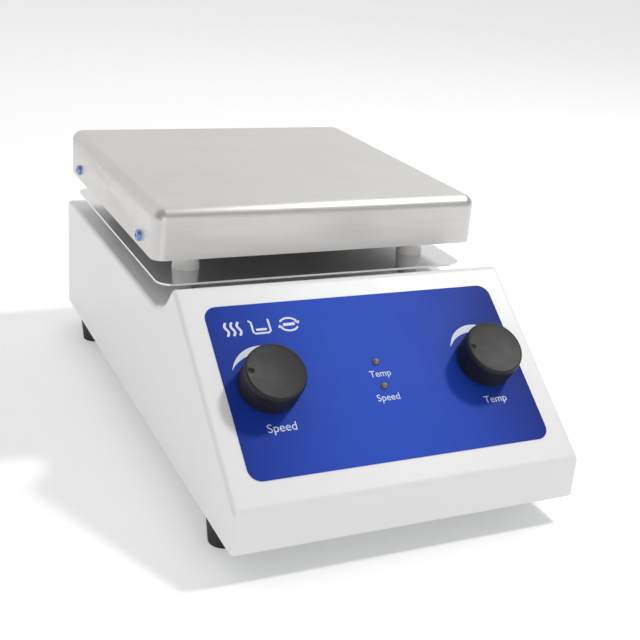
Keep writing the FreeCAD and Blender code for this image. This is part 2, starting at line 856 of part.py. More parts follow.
def make_heater_element():
    body = new_body("heater_element")
    sketch = new_sketch(body, "tube", "XZ")
    draw_circles(sketch, [("element_ring_radius", "0")], "element_radius")
    ring = body.newObject("PartDesign::Revolution", "heater_element_ring")
    ring.Profile = sketch
    ring.ReferenceAxis = (sketch, ["V_Axis"])
    bind(ring, "Angle", "360 - element_gap_angle")
    ends = [
        ("element_ring_radius", "0"),
        ("element_ring_radius * cos(element_gap_angle)", "-element_ring_radius * sin(element_gap_angle)"),
    ]
    add_pegs(body, "terminals", ends, "terminal_radius", "-terminal_drop", "terminal_drop")
    stand_at(body, z=HEATER_BOTTOM)
    turned = FreeCAD.Rotation(FreeCAD.Vector(0, 0, 1), value("90 + element_gap_angle / 2"))
    body.Placement = FreeCAD.Placement(FreeCAD.Vector(0, 0, value(HEATER_BOTTOM)), turned)
    bind(body, "Placement.Rotation.Angle", "90 + element_gap_angle / 2")
    return body


def make_temp_sensor():
    body = new_body("temp_sensor")
    add_pegs(body, "tip", [CENTRE], "sensor_radius", "0", "sensor_reach")
    sketch = new_sketch(body, "hexagon")
    draw_hexagon(sketch, "0", "0", "sensor_hexagon")
    pad(body, sketch, "sensor_hexagon_height", reverse=True)
    stand_at(body, y="sensor_y", z=CLAMP_BOTTOM)
    return body


# ---------------------------------------------------------------------------------------------
# Motor and the turning parts
# ---------------------------------------------------------------------------------------------

def make_carrier_plate():
    body = new_body("carrier_plate")
    add_block(body, "sheet", "carrier_side", "carrier_side", "0", "carrier_sheet")
    fillet(body, "carrier_corner_radius", is_upright)
    drill(body, "post_holes", POST_SPOTS, "bolt_hole_radius")
    drill(body, "shaft_hole", [CENTRE], "shaft_opening_radius - 2")
    drill(body, "lead_hole", [LEAD_SPOT], "lead_opening_radius - 1")
    drill(body, "motor_holes", motor_screw_spots(), "motor_screw_radius + screw_clearance")
    stand_at(body, z=CARRIER_BOTTOM)
    return body


def motor_screw_spots():
    return [(f"motor_screw_circle * cos({turn})", f"motor_screw_circle * sin({turn})")
            for turn in (45, 135, 225, 315)]


def make_motor_case():
    body = new_body("motor_case")
    profile = new_sketch(body, "profile", "XZ")
    low = "end_cap_thickness"
    roof = "(motor_height - motor_top)"
    draw_outline(profile, [
        ("motor_radius - motor_wall", low),
        ("motor_radius", low),
        ("motor_radius", "motor_height"),
        ("shaft_opening_radius - 2", "motor_height"),
        ("shaft_opening_radius - 2", f"{roof} + bearing_width"),
        ("bearing_radius", f"{roof} + bearing_width"),
        ("bearing_radius", roof),
        ("motor_radius - motor_wall", roof),
    ])
    turn(body, profile)
    sketch = new_sketch(body, "screw_bores", offset="motor_height")
    draw_circles(sketch, motor_screw_spots(), "motor_screw_radius + thread_gap")
    pocket(body, sketch, "motor_screw_bore_depth")
    stand_at(body, z=MOTOR_BOTTOM)
    return body


def make_motor_end_cap():
    body = new_body("motor_end_cap")
    add_pegs(body, "disc", [CENTRE], "motor_radius", "0", "end_cap_thickness")
    add_pegs(body, "hub", [CENTRE], "bearing_radius + 3", "end_cap_thickness", "bearing_width")
    cut_round(body, "seat", [CENTRE], "bearing_radius", "end_cap_thickness", "bearing_width")
    stand_at(body, z=MOTOR_BOTTOM)
    return body


def make_motor_bearings():
    body = new_body("motor_bearings")
    for name, low in (("lower", "end_cap_thickness"), ("upper", "(motor_height - motor_top)")):
        add_pegs(body, name, [CENTRE], "bearing_radius", low, "bearing_width")
    drill(body, "bores", [CENTRE], "shaft_radius + running_gap")
    stand_at(body, z=MOTOR_BOTTOM)
    return body


def make_motor_stator():
    body = new_body("motor_stator")
    add_pegs(body, "ring", [CENTRE], "motor_radius - motor_wall", "0", "stator_height")
    inner = "(motor_radius - motor_wall - stator_ring)"
    cut_round(body, "hollow", [CENTRE], inner, "0", "stator_height")
    tooth = new_sketch(body, "tooth")
    draw_rectangle(tooth, f"{inner} - tooth_length", f"{inner} + stator_ring / 2",
                   "-tooth_width / 2", "tooth_width / 2")
    first = pad(body, tooth, "stator_height")
    repeat_around(body, first, "stator_slots")
    stand_at(body, z=f"{MOTOR_BOTTOM} + stator_rise")
    return body


def repeat_around(body, feature, count):
    pattern = body.newObject("PartDesign::PolarPattern", feature.Name + "_around")
    pattern.Originals = [feature]
    for axis in body.Origin.OriginFeatures:
        if axis.Role == "Z_Axis":
            pattern.Axis = (axis, [""])
    pattern.Angle = 360
    bind(pattern, "Occurrences", count)
    body.Tip = pattern
    document.recompute()
    return pattern


def make_motor_coils():
    body = new_body("motor_coils")
    inner = "(motor_radius - motor_wall - stator_ring)"
    outline = new_sketch(body, "outline")
    draw_rectangle(outline, f"{inner} - tooth_length + 1", f"{inner} - 1",
                   "-tooth_width / 2 - coil_wall", "tooth_width / 2 + coil_wall")
    first = pad(body, outline, "stator_height + 2 * coil_wall")
    hole = new_sketch(body, "hole", offset="coil_wall")
    draw_rectangle(hole, f"{inner} - tooth_length", inner, "-tooth_width / 2", "tooth_width / 2")
    second = pocket(body, hole, "stator_height", reverse=True)
    pattern = repeat_around(body, first, "stator_slots")
    pattern.Originals = [first, second]
    stand_at(body, z=f"{MOTOR_BOTTOM} + stator_rise - coil_wall")
    return body


def make_motor_screws():
    body = new_body("motor_screws")
    spots = motor_screw_spots()
    add_pegs(body, "shanks", spots, "motor_screw_radius", "-motor_screw_length", "motor_screw_length")
    add_pegs(body, "heads", spots, "motor_screw_radius * 1.8", "0", "motor_screw_head_height")
    stand_at(body, z=CEILING)
    return body


def make_drive_shaft():
    body = new_body("drive_shaft")
    add_pegs(body, "rod", [CENTRE], "shaft_radius", "0", "shaft_length")
    top = value("shaft_length")
    dress_edges(body, "Chamfer", "0.4", lambda edge: lies_at(0)(edge) or lies_at(top)(edge))
    stand_at(body, z=f"{MOTOR_BOTTOM} + end_cap_thickness + 1")
    return body


def make_motor_rotor():
    body = new_body("motor_rotor")
    add_pegs(body, "drum", [CENTRE], "rotor_radius", "0", "stator_height")
    cut_round(body, "bore", [CENTRE], "shaft_radius", "0", "stator_height")
    stand_at(body, z=f"{MOTOR_BOTTOM} + stator_rise")
    return body


def magnet_spots():
    return [("-magnet_offset", "0"), ("magnet_offset", "0")]


def make_magnet_bar():
    body = new_body("magnet_bar")
    add_block(body, "bar", "magnet_bar_length", "magnet_bar_width", "0", "magnet_bar_height")
    fillet(body, "magnet_bar_width / 2 - 0.5", is_upright)
    cut_round(body, "bore", [CENTRE], "shaft_radius", "0", "magnet_bar_height")
    cut_round(body, "seats", magnet_spots(), "magnet_radius",
              "magnet_bar_height - magnet_height", "magnet_height")
    screw_hole = new_sketch(body, "screw_hole", "XZ")
    draw_circles(screw_hole, [("0", "magnet_bar_height / 2")], "motor_screw_radius")
    pocket(body, screw_hole, "magnet_bar_width / 2")
    stand_at(body, z=MAGNET_BAR_BOTTOM)
    return body


def make_drive_magnets():
    body = new_body("drive_magnets")
    add_pegs(body, "discs", magnet_spots(), "magnet_radius", "0", "magnet_height")
    stand_at(body, z=f"{MAGNET_BAR_BOTTOM} + magnet_bar_height - magnet_height")
    return body


def make_bar_screw():
    body = new_body("bar_screw")
    sketch = new_sketch(body, "thread", "XZ", offset="-shaft_radius")
    draw_circles(sketch, [("0", "magnet_bar_height / 2")], "motor_screw_radius")
    pad(body, sketch, "bar_screw_length", reverse=True)
    stand_at(body, z=MAGNET_BAR_BOTTOM)
    return body


# ---------------------------------------------------------------------------------------------
# Control panel
# ---------------------------------------------------------------------------------------------

def knob_spots():
    return [(f"{side} * knob_spacing / 2", "-knob_v") for side in (-1, 1)]


def lamp_spots():
    return [("0", "-temp_lamp_v"), ("0", "-speed_lamp_v")]


def make_front_label():
    body = new_body("front_label")
    sketch = new_sketch(body, "film")
    draw_rectangle(sketch, "-label_width / 2", "label_width / 2", "-label_bottom", "-label_top")
    pad(body, sketch, "label_film")
    fillet(body, "label_corner_radius", is_upright)
    drill(body, "knob_holes", knob_spots(), "pot_bushing_radius + 0.1")
    drill(body, "lamp_holes", lamp_spots(), "lamp_radius + 0.1")
    lay_on_panel(body, "Placement")
    return body


def make_knob(name, side):
    body = new_body(name)
    profile = new_sketch(body, "profile", "XZ")
    draw_outline(profile, [
        ("knob_skirt_radius", "0"),
        ("knob_radius", "0"),
        ("knob_radius", "knob_height - knob_rim_chamfer"),
        ("knob_radius - knob_rim_chamfer", "knob_height"),
        ("0", "knob_height"),
        ("0", "knob_bore_depth"),
        ("shaft_radius", "knob_bore_depth"),
        ("shaft_radius", "knob_skirt_depth"),
        ("knob_skirt_radius", "knob_skirt_depth"),
    ])
    turn(body, profile)
    grooves = new_sketch(body, "grooves")
    count = int(value("knob_grooves"))
    draw_circles(grooves, [
        (f"knob_radius * cos({index} * 360 / knob_grooves)",
         f"knob_radius * sin({index} * 360 / knob_grooves)")
        for index in range(count)
    ], "knob_groove_radius")
    pocket(body, grooves, "knob_height - knob_rim_chamfer - 1", reverse=True)
    dimple = new_sketch(body, "dimple", offset="knob_height")
    draw_circles(dimple, [("dimple_offset * cos(dimple_angle)", "dimple_offset * sin(dimple_angle)")],
                 "dimple_radius")
    pocket(body, dimple, "dimple_depth")
    lay_on_panel(body, "Placement", f"{side} * knob_spacing / 2", "knob_v", "knob_gap")
    return body


def make_pot_body(name, side):
    body = new_body(name)
    low = "(-shell_wall - pot_depth)"
    add_block(body, "case", "pot_side", "pot_side", low, "pot_depth")
    add_pegs(body, "bushing", [CENTRE], "pot_bushing_radius", "-shell_wall",
             "shell_wall + pot_bushing_height")
    cut_round(body, "shaft_bore", [CENTRE], "shaft_radius / 2 + running_gap", "-pot_shaft_bottom",
              "pot_shaft_bottom + pot_bushing_height")
    cut_round(body, "wiper_space", [CENTRE], "wiper_radius + 0.5", f"{low} + 1", "pot_depth - 3")
    lay_on_panel(body, "Placement", f"{side} * knob_spacing / 2", "knob_v")
    return body


def make_pot_shaft(name, side):
    body = new_body(name)
    add_pegs(body, "disc", [CENTRE], "wiper_radius", "-pot_shaft_bottom", "wiper_thickness")
    add_pegs(body, "rod", [CENTRE], "shaft_radius / 2", "-pot_shaft_bottom",
             "pot_shaft_bottom + pot_bushing_height + 0.5")
    add_pegs(body, "grip", [CENTRE], "shaft_radius", "pot_bushing_height + 0.5",
             "pot_shaft_top - pot_bushing_height - 0.5")
    lay_on_panel(body, "Placement", f"{side} * knob_spacing / 2", "knob_v")
    return body


def make_pot_nuts():
    body = new_body("pot_nuts")
    sketch = new_sketch(body, "hexagons")
    for x, y in knob_spots():
        draw_hexagon(sketch, x, y, "pot_nut_across_flats")
    pad(body, sketch, "pot_nut_height")
    drill(body, "threads", knob_spots(), "pot_bushing_radius + thread_gap")
    lay_on_panel(body, "Placement", rise="label_film")
    return body


def make_lamp(name, down):
    body = new_body(name)
    add_pegs(body, "flange", [CENTRE], "lamp_flange_radius", "-shell_wall - 1", "1")
    add_pegs(body, "lens", [CENTRE], "lamp_radius", "-shell_wall", "shell_wall + lamp_rise + lamp_radius / 2")
    fillet(body, "lamp_radius - 0.1", lies_at(value("lamp_rise + lamp_radius / 2")))
    legs = [("-lamp_radius * 0.4", "0"), ("lamp_radius * 0.4", "0")]
    add_pegs(body, "legs", legs, "lamp_leg_radius", "-shell_wall - pot_depth", "pot_depth - 1")
    lay_on_panel(body, "Placement", down=down)
    return body


def make_control_board():
    body = new_body("control_board")
    sketch = new_sketch(body, "board")
    draw_rectangle(sketch, "-control_board_width / 2", "control_board_width / 2",
                   "-control_board_bottom", "-control_board_top")
    pad(body, sketch, "board_thickness", reverse=True)
    lay_on_panel(body, "Placement", rise="-shell_wall - pot_depth")
    return body


# ---------------------------------------------------------------------------------------------
# Mains inlet
# ---------------------------------------------------------------------------------------------

def contact_spots():
    """Live and neutral side by side, with earth above and between them."""
    low = "(socket_rise - contact_width / 2)"
    high = "(socket_rise + contact_width / 2)"
    return [("-contact_spacing", low), ("contact_spacing", low), ("0", high)]


def make_power_inlet():
    """Moulded inlet: its own z runs inwards from the outer face of the back wall."""
    body = new_body("power_inlet")
    case = new_sketch(body, "case", "XZ")
    draw_block(case, "inlet_width", "inlet_body_height")
    pad(body, case, "inlet_depth")
    flange = new_sketch(body, "flange", "XZ")
    draw_block(flange, "inlet_flange_width", "inlet_flange_height")
    pad(body, flange, "inlet_flange", reverse=True)
    fillet(body, "2", lambda edge: edge.BoundBox.YLength > 1e-3
           and edge.BoundBox.XLength < 1e-3 and abs(edge.BoundBox.XMin) > value("inlet_flange_width / 2") - 1)
    socket = new_sketch(body, "socket", "XZ", offset="-inlet_flange")
    draw_block(socket, "socket_width", "socket_height", y="socket_rise")
    pocket(body, socket, "socket_depth", reverse=True)
    drawer = new_sketch(body, "drawer", "XZ", offset="-inlet_flange")
    draw_block(drawer, "drawer_width + 2 * drawer_gap", "drawer_height + 2 * drawer_gap", y="-drawer_drop")
    pocket(body, drawer, "drawer_length + 0.5", reverse=True)
    slots = new_sketch(body, "contact_slots", "XZ")
    for x, z in contact_spots():
        draw_block(slots, "contact_thickness", "contact_width", x, z)
    pocket(body, slots, "inlet_depth", reverse=True)
    screw_holes = [(f"{side} * inlet_screw_spacing / 2", "0") for side in (-1, 1)]
    drill(body, "screw_holes", screw_holes, "inlet_screw_radius + screw_clearance", "XZ")
    stand_at(body, "inlet_x", "back_y", INLET_Z)
    return body


def make_inlet_contacts():
    body = new_body("inlet_contacts")
    sketch = new_sketch(body, "blades", "XZ", offset="-1")
    for x, z in contact_spots():
        draw_block(sketch, "contact_thickness", "contact_width", x, z)
    pad(body, sketch, "contact_length")
    stand_at(body, "inlet_x", "back_y", INLET_Z)
    return body


def make_inlet_screws():
    body = new_body("inlet_screws")
    spots = [(f"{side} * inlet_screw_spacing / 2", "0") for side in (-1, 1)]
    shank = new_sketch(body, "shanks", "XZ", offset="-inlet_flange")
    draw_circles(shank, spots, "inlet_screw_radius")
    pad(body, shank, "inlet_screw_length")
    head = new_sketch(body, "heads", "XZ", offset="-inlet_flange")
    draw_circles(head, spots, "inlet_screw_head_radius")
    pad(body, head, "inlet_screw_head_height", reverse=True)
    nut = new_sketch(body, "nuts", "XZ", offset="shell_wall")
    for x, z in spots:
        draw_hexagon(nut, x, z, "inlet_nut_across_flats")
    pad(body, nut, "inlet_nut_height")
    recess = new_sketch(body, "recesses", "XZ", offset="-inlet_flange - inlet_screw_head_height")
    for x, z in spots:
        draw_cross(recess, x, z, "recess_span", "recess_width")
    pocket(body, recess, "recess_depth", reverse=True)
    stand_at(body, "inlet_x", "back_y", INLET_Z)
    return body


def make_fuse_drawer():
    body = new_body("fuse_drawer")
    slide = new_sketch(body, "slide", "XZ")
    draw_block(slide, "drawer_width", "drawer_height")
    pad(body, slide, "drawer_length")
    face = new_sketch(body, "face", "XZ")
    draw_block(face, "drawer_width + 2", "drawer_height + 1")
    pad(body, face, "1.5", reverse=True)
    trough = new_sketch(body, "trough", "YZ")
    draw_block(trough, "2 * fuse_radius", "drawer_height", "-drawer_length / 2", "2")
    pocket(body, trough, "fuse_length + 0.4", middle=True)
    stand_at(body, "inlet_x", "back_y + inlet_flange", f"{INLET_Z} - drawer_drop")
    return body


def make_fuse():
    body = new_body("fuse")
    tube = new_sketch(body, "tube", "YZ")
    draw_circles(tube, [("0", "0")], "fuse_radius")
    pad(body, tube, "fuse_length", middle=True)
    stand_at(body, "inlet_x", "back_y + inlet_flange - drawer_length / 2",
             f"{INLET_Z} - drawer_drop - 2 + fuse_radius")
    return body


# ---------------------------------------------------------------------------------------------
# Power board and wiring
# ---------------------------------------------------------------------------------------------

def make_power_board():
    body = new_body("power_board")
    add_block(body, "board", "power_board_width", "power_board_depth", "0", "board_thickness",
              y="power_board_y")
    stand_at(body, z=f"{BOARD_TOP} - board_thickness")
    return body


def make_board_standoffs():
    body = new_body("board_standoffs")
    add_pegs(body, "pillars", STANDOFF_SPOTS, "standoff_radius", "0", "standoff_height")
    stand_at(body, z=FLOOR_TOP)
    return body


def make_transformer():
    body = new_body("transformer")
    add_block(body, "core", "core_width", "core_depth", "core_rise", "core_height")
    add_block(body, "winding", "winding_width", "winding_depth", "0", "winding_height")
    stand_at(body, "transformer_x", "transformer_y", BOARD_TOP)
    return body


def make_heat_sink():
    body = new_body("heat_sink")
    add_block(body, "wall", "sink_width", "sink_wall", "0", "sink_height")
    fins = new_sketch(body, "fins")
    for index in range(int(value("sink_fins"))):
        left = f"(-sink_width / 2 + {index} * (sink_width - sink_fin) / (sink_fins - 1))"
        draw_rectangle(fins, left, f"{left} + sink_fin", "sink_wall / 4", "sink_depth")
    pad(body, fins, "sink_height")
    stand_at(body, "sink_x", "sink_y", BOARD_TOP)
    return body


def make_heater_triac():
    """Switch that feeds the heater, flat against the heat sink."""
    body = new_body("heater_triac")
    add_block(body, "case", "triac_width", "triac_thickness", "triac_leg_length", "triac_height")
    legs = [(f"{side} * triac_leg_spacing", "0") for side in (-1, 0, 1)]
    add_pegs(body, "legs", legs, "triac_leg_radius", "0", "triac_leg_length")
    stand_at(body, "sink_x", "sink_y - sink_wall / 2 - triac_thickness / 2", BOARD_TOP)
    return body


def make_terminal_block():
    body = new_body("terminal_block")
    add_block(body, "block", "block_length", "block_depth", "0", "block_height")
    stand_at(body, "0", "block_y", BOARD_TOP)
    return body


def make_capacitors():
    body = new_body("capacitors")
    spots = [(f"{index} * capacitor_spacing", "0") for index in range(3)]
    add_pegs(body, "cans", spots, "capacitor_radius", "0", "capacitor_height")
    stand_at(body, "capacitor_x", "capacitor_y", BOARD_TOP)
    return body


# Wires: how high one starts to drop onto the terminal block, how far it runs straight above and
# below the deck, and how tightly it bends.
DOWN_TO_BLOCK = 14
ABOVE_DECK = 19.5
BELOW_DECK = 20.5
WIRE_BEND = 8


def rounded_path(points, bend):
    """Straight runs through the points with every corner rounded, as one wire."""
    spots = [FreeCAD.Vector(*point) for point in points]
    edges = []
    start = spots[0]
    for before, corner, after in zip(spots, spots[1:], spots[2:]):
        arriving = (corner - before).normalize()
        leaving = (after - corner).normalize()
        half_turn = arriving.getAngle(leaving) / 2
        if half_turn < 0.01:
            continue
        room = 0.45 * min((corner - before).Length, (after - corner).Length)
        radius = min(bend, room / math.tan(half_turn))
        trim = radius * math.tan(half_turn)
        inward = (leaving - arriving).normalize()
        first = corner - arriving * trim
        last = corner + leaving * trim
        middle = corner + inward * (radius / math.cos(half_turn) - radius)
        edges.append(Part.makeLine(start, first))
        edges.append(Part.Arc(first, middle, last).toShape())
        start = last
    edges.append(Part.makeLine(start, spots[-1]))
    return Part.Wire(edges)


def wire_run(points, radius):
    """Round wire along a rounded path."""
    along = FreeCAD.Vector(*points[1]) - FreeCAD.Vector(*points[0])
    ring = Part.Wire([Part.Circle(FreeCAD.Vector(*points[0]), along, radius).toShape()])
    return rounded_path(points, WIRE_BEND).makePipeShell([ring], True, False)


def make_wires(name, runs):
    """Several wires as one piece, each given as its points and its radius."""
    item = document.addObject("Part::Feature", name)
    item.Label = name
    item.Shape = Part.makeCompound([wire_run(points, radius) for points, radius in runs])
    return item


def end_on_block(x):
    """Last points of a wire that drops onto the terminal block."""
    block_top = value(BOARD_TOP) + value("block_height")
    block_y = value("block_y")
    return [(x, block_y, block_top + DOWN_TO_BLOCK), (x, block_y, block_top)]


def pass_the_deck(x, y):
    """Points that take a wire straight down through the shield, the deck and the carrier plate."""
    deck = value(DECK_TOP)
    return [(x, y, deck + ABOVE_DECK), (x, y, deck - BELOW_DECK)]


def make_heater_leads():
    """Two element leads and the thinner sensor lead, all through the grommet behind the motor."""
    thick = value("wire_radius")
    element_z = value(HEATER_BOTTOM) - value("terminal_drop")
    lead_y = value("lead_opening_y")
    runs = []
    for side, (x, y) in zip((1, -1), element_terminals()):
        bench = 46 + side * 3
        points = [(value(x), value(y), element_z), (value(x), value(y), element_z - 3)]
        points += pass_the_deck(side * 3, lead_y)
        points += [(bench, 20, 40), (bench, -40, 40)]
        points += end_on_block(22 + side * 3)
        runs.append((points, thick))
    loop_z = value(RIM) + 4.5
    sensor_y = value("sensor_y")
    points = [(0, sensor_y, value(CLAMP_BOTTOM) - 4), (0, sensor_y, loop_z)]
    points += [(-34, -34, loop_z), (-45, 0, loop_z), (-34, 34, loop_z), (0, lead_y + 3, loop_z)]
    points += pass_the_deck(0, lead_y + 3)
    points += [(55, 20, 40), (55, -40, 40)]
    points += end_on_block(29)
    runs.append((points, thick * 0.6))
    return make_wires("heater_leads", runs)


def make_mains_wires():
    """Live and neutral to the terminal block, earth to the floor."""
    radius = value("wire_radius")
    contact_y = value("back_y + 1 - contact_length")
    live_z = value(INLET_Z) + value("socket_rise") - 2
    middle_x = value("inlet_x")
    runs = []
    for side in (-1, 1):
        points = [
            (middle_x + side * value("contact_spacing"), contact_y, live_z),
            (middle_x + side * 7, contact_y - 14, live_z),
            (-48 + side * 3, 20, 34),
            (-46 + side * 3, -40, 36),
        ]
        points += end_on_block(-22 + side * 3)
        runs.append((points, radius))
    earth = [
        (middle_x, contact_y, live_z + 4),
        (middle_x, contact_y - 8, live_z + 4),
        (middle_x - 17, contact_y - 26, 30),
        (middle_x - 17, contact_y - 26, value(FLOOR_TOP)),
    ]
    runs.append((earth, radius))
    return make_wires("mains_wires", runs)


def make_motor_leads():
    radius = value("wire_radius") * 0.7
    motor_z = value(MOTOR_BOTTOM)
    runs = []
    for side in (-1, 1):
        points = [(side * 3, -20, motor_z), (side * 3, -20, motor_z - 4), (side * 3, -50, motor_z - 4)]
        points += end_on_block(side * 3)
        runs.append((points, radius))
    return make_wires("motor_leads", runs)


def make_lead_grommet():
    body = new_body("lead_grommet")
    add_pegs(body, "sleeve", [CENTRE], "lead_opening_radius - 1", "-shell_wall - carrier_sheet",
             "shell_wall + carrier_sheet")
    add_pegs(body, "collar", [CENTRE], "lead_opening_radius + 1", "0", "2")
    drill(body, "bore", [CENTRE], "lead_opening_radius - 3")
    stand_at(body, y="lead_opening_y", z=DECK_TOP)
    return body


def make_control_cable():
    """Flat cable from the underside of the control board down to the power board."""
    body = new_body("control_cable")
    down = "(control_board_bottom - 4)"
    depth = "(-shell_wall - pot_depth - board_thickness)"
    top_y = f"({RIDGE_Y} - {down} * cos(panel_angle) - {depth} * sin(panel_angle))"
    top_z = f"({RIDGE_Z} - {down} * sin(panel_angle) + {depth} * cos(panel_angle))"
    low_y = "(power_board_y - power_board_depth / 2 + 3)"
    sketch = new_sketch(body, "strip", "YZ")
    draw_outline(sketch, [
        (top_y, top_z),
        (f"{top_y} + cable_thickness * cos(panel_angle)", f"{top_z} + cable_thickness * sin(panel_angle)"),
        (f"{low_y} + cable_thickness", f"{BOARD_TOP} + 6"),
        (f"{low_y} + cable_thickness", BOARD_TOP),
        (low_y, BOARD_TOP),
        (low_y, f"{BOARD_TOP} + 5.5"),
    ])
    pad(body, sketch, "cable_width", middle=True)
    return body


# ---------------------------------------------------------------------------------------------
# Build every piece, test it and write it
# ---------------------------------------------------------------------------------------------

pieces = [
    make_housing_shell(),
    make_base_plate(),
    make_rubber_feet(),
    make_foot_screws(),
    make_plate_cover(),
    make_cover_screws(),
    make_heater_tray(),
    make_ceramic_posts(),
    make_heat_shield(),
    make_shield_spacers(),
    make_post_bolts(),
    make_nuts("post_nuts", POST_SPOTS, CARRIER_BOTTOM),
    make_cover_studs(),
    make_nuts("stud_nuts", STUD_SPOTS, CLAMP_BOTTOM),
    make_heater_plate(),
    make_insulation_pad(),
    make_clamp_sheet(),
    make_heater_element(),
    make_temp_sensor(),
    make_carrier_plate(),
    make_motor_case(),
    make_motor_end_cap(),
    make_motor_bearings(),
    make_motor_stator(),
    make_motor_coils(),
    make_motor_screws(),
    make_drive_shaft(),
    make_motor_rotor(),
    make_magnet_bar(),
    make_drive_magnets(),
    make_bar_screw(),
    make_front_label(),
    make_knob("speed_knob", -1),
    make_knob("temp_knob", 1),
    make_pot_body("speed_pot_body", -1),
    make_pot_body("temp_pot_body", 1),
    make_pot_shaft("speed_pot_shaft", -1),
    make_pot_shaft("temp_pot_shaft", 1),
    make_pot_nuts(),
    make_lamp("temp_lamp", "temp_lamp_v"),
    make_lamp("speed_lamp", "speed_lamp_v"),
    make_control_board(),
    make_power_inlet(),
    make_inlet_contacts(),
    make_inlet_screws(),
    make_fuse_drawer(),
    make_fuse(),
    make_power_board(),
    make_board_standoffs(),
    make_transformer(),
    make_heat_sink(),
    make_heater_triac(),
    make_terminal_block(),
    make_capacitors(),
    make_lead_grommet(),
    make_control_cable(),
    make_heater_leads(),
    make_mains_wires(),
    make_motor_leads(),
]

document.recompute()

faults = []
for item in document.Objects:
    if "Invalid" in item.State or "Error" in item.State:
        faults.append(item.Name + " did not compute")
for piece in pieces:
    if piece.Shape.isNull() or not piece.Shape.isValid():
        faults.append(piece.Label + " has no valid shape")
if faults:
    raise RuntimeError("; ".join(faults))

for piece in pieces:
    piece.Shape.exportStep("parts/" + piece.Label + ".step")
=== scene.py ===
import json
import math

import bmesh
import bpy
from mathutils import Matrix, Quaternion, Vector


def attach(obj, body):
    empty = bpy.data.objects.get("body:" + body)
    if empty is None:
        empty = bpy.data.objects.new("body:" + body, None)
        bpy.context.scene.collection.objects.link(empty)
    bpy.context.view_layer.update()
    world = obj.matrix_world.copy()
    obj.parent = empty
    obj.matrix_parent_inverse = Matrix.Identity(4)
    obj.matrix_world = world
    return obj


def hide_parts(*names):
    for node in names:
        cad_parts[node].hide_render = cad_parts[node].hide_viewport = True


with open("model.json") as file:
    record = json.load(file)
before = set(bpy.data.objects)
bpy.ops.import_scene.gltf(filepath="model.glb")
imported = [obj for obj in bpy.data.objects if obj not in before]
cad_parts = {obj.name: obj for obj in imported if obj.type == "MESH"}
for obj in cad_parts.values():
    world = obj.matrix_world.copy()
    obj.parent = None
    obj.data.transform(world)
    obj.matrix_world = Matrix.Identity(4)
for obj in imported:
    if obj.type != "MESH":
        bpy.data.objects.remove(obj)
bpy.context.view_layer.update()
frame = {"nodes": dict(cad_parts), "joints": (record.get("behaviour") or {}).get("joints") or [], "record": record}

MM = 0.001


def add_object(name, data):
    made = bpy.data.objects.new(name, data)
    bpy.context.scene.collection.objects.link(made)
    return made


# ---------------------------------------------------------------------------------------------
# Node graphs
# ---------------------------------------------------------------------------------------------

class Graph:
    """A node tree under construction."""

    def __init__(self, tree):
        self.tree = tree
        self.tree.nodes.clear()

    def add(self, kind, **settings):
        node = self.tree.nodes.new(kind)
        for name, value in settings.items():
            setattr(node, name, value)
        return node

    def put(self, node, name, value):
        """Give a node's input a number, a colour or another node's output."""
        socket = node.inputs[name]
        if isinstance(value, bpy.types.NodeSocket):
            self.tree.links.new(value, socket)
        elif isinstance(value, tuple) and len(value) == 3 and socket.type == "RGBA":
            socket.default_value = (*value, 1)
        else:
            socket.default_value = value

    def part(self, vector, axis):
        """One coordinate of a vector."""
        node = self.add("ShaderNodeSeparateXYZ")
        self.put(node, "Vector", vector)
        return node.outputs[axis]

    def span(self, value, low, high, start=0.3, end=0.7):
        """Map start..end of a signal to low..high; most of a noise lies between 0.3 and 0.7."""
        node = self.add("ShaderNodeMapRange")
        self.put(node, "Value", value)
        self.put(node, "From Min", start)
        self.put(node, "From Max", end)
        self.put(node, "To Min", low)
        self.put(node, "To Max", high)
        return node.outputs["Result"]

    def math(self, operation, first, second=0.0):
        node = self.add("ShaderNodeMath", operation=operation)
        self.put(node, 0, first)
        self.put(node, 1, second)
        return node.outputs["Value"]

    def blend(self, factor, first, second):
        """Mix two colours."""
        node = self.add("ShaderNodeMix", data_type="RGBA")
        self.put(node, "Factor", factor)
        colors = [index for index, socket in enumerate(node.inputs) if socket.type == "RGBA"]
        self.put(node, colors[0], first)
        self.put(node, colors[1], second)
        return next(socket for socket in node.outputs if socket.type == "RGBA")


class Surface(Graph):
    """A material on the object's own coordinates, in metres."""

    def __init__(self, name):
        self.material = bpy.data.materials.new(name)
        self.material.use_nodes = True
        super().__init__(self.material.node_tree)
        output = self.add("ShaderNodeOutputMaterial")
        self.shader = self.add("ShaderNodeBsdfPrincipled")
        self.put(output, "Surface", self.shader.outputs["BSDF"])
        self.place = self.add("ShaderNodeTexCoord").outputs["Object"]

    def set(self, **values):
        """Set the shader's inputs, by their names in lower case."""
        for name, value in values.items():
            self.put(self.shader, name.replace("_", " ").title().replace("Ior", "IOR"), value)

    def noise(self, scale, detail=4.0, stretch=(1, 1, 1), rough=0.55):
        mapping = self.add("ShaderNodeMapping")
        self.put(mapping, "Vector", self.place)
        self.put(mapping, "Scale", stretch)
        node = self.add("ShaderNodeTexNoise")
        self.put(node, "Vector", mapping.outputs["Vector"])
        self.put(node, "Scale", scale)
        self.put(node, "Detail", detail)
        self.put(node, "Roughness", rough)
        return node.outputs["Fac"]

    def cells(self, scale):
        """Distance to the nearest of a cloud of scattered points."""
        node = self.add("ShaderNodeTexVoronoi")
        self.put(node, "Vector", self.place)
        self.put(node, "Scale", scale)
        return node.outputs["Distance"]

    def bump(self, height, distance, under=None):
        """Relief on the surface, over another relief if there is one under it."""
        node = self.add("ShaderNodeBump")
        self.put(node, "Height", height)
        self.put(node, "Distance", distance)
        self.put(node, "Strength", 1.0)
        if under is not None:
            self.put(node, "Normal", under)
        self.put(self.shader, "Normal", node.outputs["Normal"])
        return node.outputs["Normal"]


